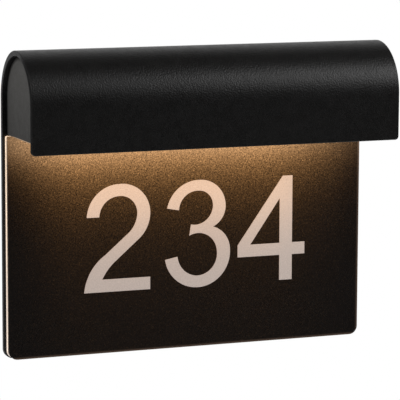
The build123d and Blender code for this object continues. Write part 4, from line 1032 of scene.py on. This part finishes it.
floorLook = {
    "height": -0.50, "radius": 1.1, "dark": grey(0.82), "light": grey(0.8364), "patchesPerMetre": 30.0,
    "wash": 0.30, "washFrom": 0.55,
}


def floorSurface(look):
    # flat disc: (r cos a, r sin a, height)
    radius = np.linspace(0, look["radius"], 12)[:, None]
    return gridMesh(turnedSurface(radius, look["height"], fullTurn(96)))


def floorFinish(name, look):
    material, tree, shader = newFinish(name, {"Roughness": 0.9, "Specular IOR Level": 0.1})
    paper = noiseAt(tree, objectPlace(tree), look["patchesPerMetre"])
    feed(tree, shader, {"Base Color": blendColours(tree, paper, look["dark"], look["light"])})
    place = partsOf(tree, objectPlace(tree))
    reach = distanceOf(tree, place["X"], place["Y"])
    rim = fade(tree, reach, look["washFrom"] * look["radius"], look["radius"])
    seen = addNode(tree, "LightPath").outputs["Is Camera Ray"]
    wash = times(tree, seen, remap(tree, rim, 0.0, 1.0, look["wash"], 1.0))
    washed = addNode(tree, "Emission", {"Color": white, "Strength": wash})
    both = addNode(tree, "AddShader", {0: shader.outputs[0], 1: washed.outputs[0]})
    # from below the floor lets the eye through, so that the underside of the sign can be looked at
    under = times(tree, seen, addNode(tree, "NewGeometry").outputs["Backfacing"])
    clear = addNode(tree, "BsdfTransparent").outputs[0]
    shown = addNode(tree, "MixShader", {0: under, 1: both.outputs[0], 2: clear}).outputs[0]
    feed(tree, tree.nodes["Material Output"], {"Surface": shown})
    return material


floorMesh = makeMesh("floor", *floorSurface(floorLook), floorFinish("floorPaper", floorLook), {})
if floorMesh.polygons[0].normal.z < 0:
    floorMesh.flip_normals()
floor = addToScene("floor", floorMesh)
print("floor done")


# world: white to the eye, an even level on matt faces, and in gloss light behind the sign, less of it to the
# left, and dark in front; the ways are parts of a direction

worldLook = {
    "even": 0.62, "glossBack": 0.8, "glossFront": 0.02, "backBetween": (0.25, 0.95),
    "glossLeft": 0.6, "glossRight": 1.03, "leftBetween": (-0.4, 0.45),
}


def makeWorld(look):
    world = bpy.data.worlds.new("studio")
    bpy.context.scene.world = world
    world.use_nodes = True
    tree = world.node_tree
    tree.nodes.clear()
    way = partsOf(tree, addNode(tree, "TexCoord").outputs["Generated"])
    ray = addNode(tree, "LightPath").outputs
    behind = remap(tree, way["Y"], *look["backBetween"], look["glossFront"], look["glossBack"], True)
    sideways = remap(tree, way["X"], *look["leftBetween"], look["glossLeft"], look["glossRight"])
    gloss = times(tree, behind, sideways)
    mirror = calc(tree, "MAXIMUM", ray["Is Glossy Ray"], ray["Is Transmission Ray"])
    change = calc(tree, "SUBTRACT", gloss, look["even"])
    strength = calc(tree, "MULTIPLY_ADD", mirror, change, look["even"])
    strength = calc(tree, "MAXIMUM", strength, ray["Is Camera Ray"])
    background = addNode(tree, "Background", {"Color": white, "Strength": strength})
    addNode(tree, "OutputWorld", {"Surface": background.outputs[0]})


makeWorld(worldLook)

# soft boxes, aimed at the middle of the sign: place and size in metres, power in watts
lampLooks = {
    "keyBox": {"place": (1.15, -0.98, 0.93), "size": 0.95, "power": 14.3},
    "fillBox": {"place": (-1.6, -0.3, 0.9), "size": 1.2, "power": 4.0},
}
aim = Vector((0, -0.03, -0.07))


def hangLamp(name, look):
    light = bpy.data.lights.new(name, "AREA")
    light.size = look["size"]
    light.energy = look["power"]
    lamp = addToScene(name, light)
    lamp.location = look["place"]
    lamp.rotation_euler = (aim - Vector(look["place"])).to_track_quat("-Z", "Y").to_euler()


for name, look in lampLooks.items():
    hangLamp(name, look)

# camera: place in metres, turned to the right, dipped and rolled by angles in radians, lens in mm
cameraLook = {
    "place": (-0.60588, -1.56564, 0.17664), "turn": 0.3761, "dip": 0.1489, "roll": 0.0042, "lens": 222.7,
    "sensor": 36.0, "nearest": 0.05, "farthest": 20.0,
}


def aimCamera(look):
    turn, dip, roll = look["turn"], look["dip"], look["roll"]
    forward = Vector((math.sin(turn) * math.cos(dip), math.cos(turn) * math.cos(dip), -math.sin(dip)))
    level = Vector((math.cos(turn), -math.sin(turn), 0))
    right = math.cos(roll) * level + math.sin(roll) * level.cross(forward)
    axes = Matrix((right, right.cross(forward), -forward)).transposed().to_4x4()
    data = bpy.data.cameras.new("camera")
    data.lens = look["lens"]
    data.sensor_width = look["sensor"]
    data.clip_start, data.clip_end = look["nearest"], look["farthest"]
    camera = addToScene("camera", data)
    camera.matrix_world = Matrix.Translation(look["place"]) @ axes
    bpy.context.scene.camera = camera


aimCamera(cameraLook)
bpy.context.scene.view_settings.view_transform = "Standard"
print("stage, light and camera done")
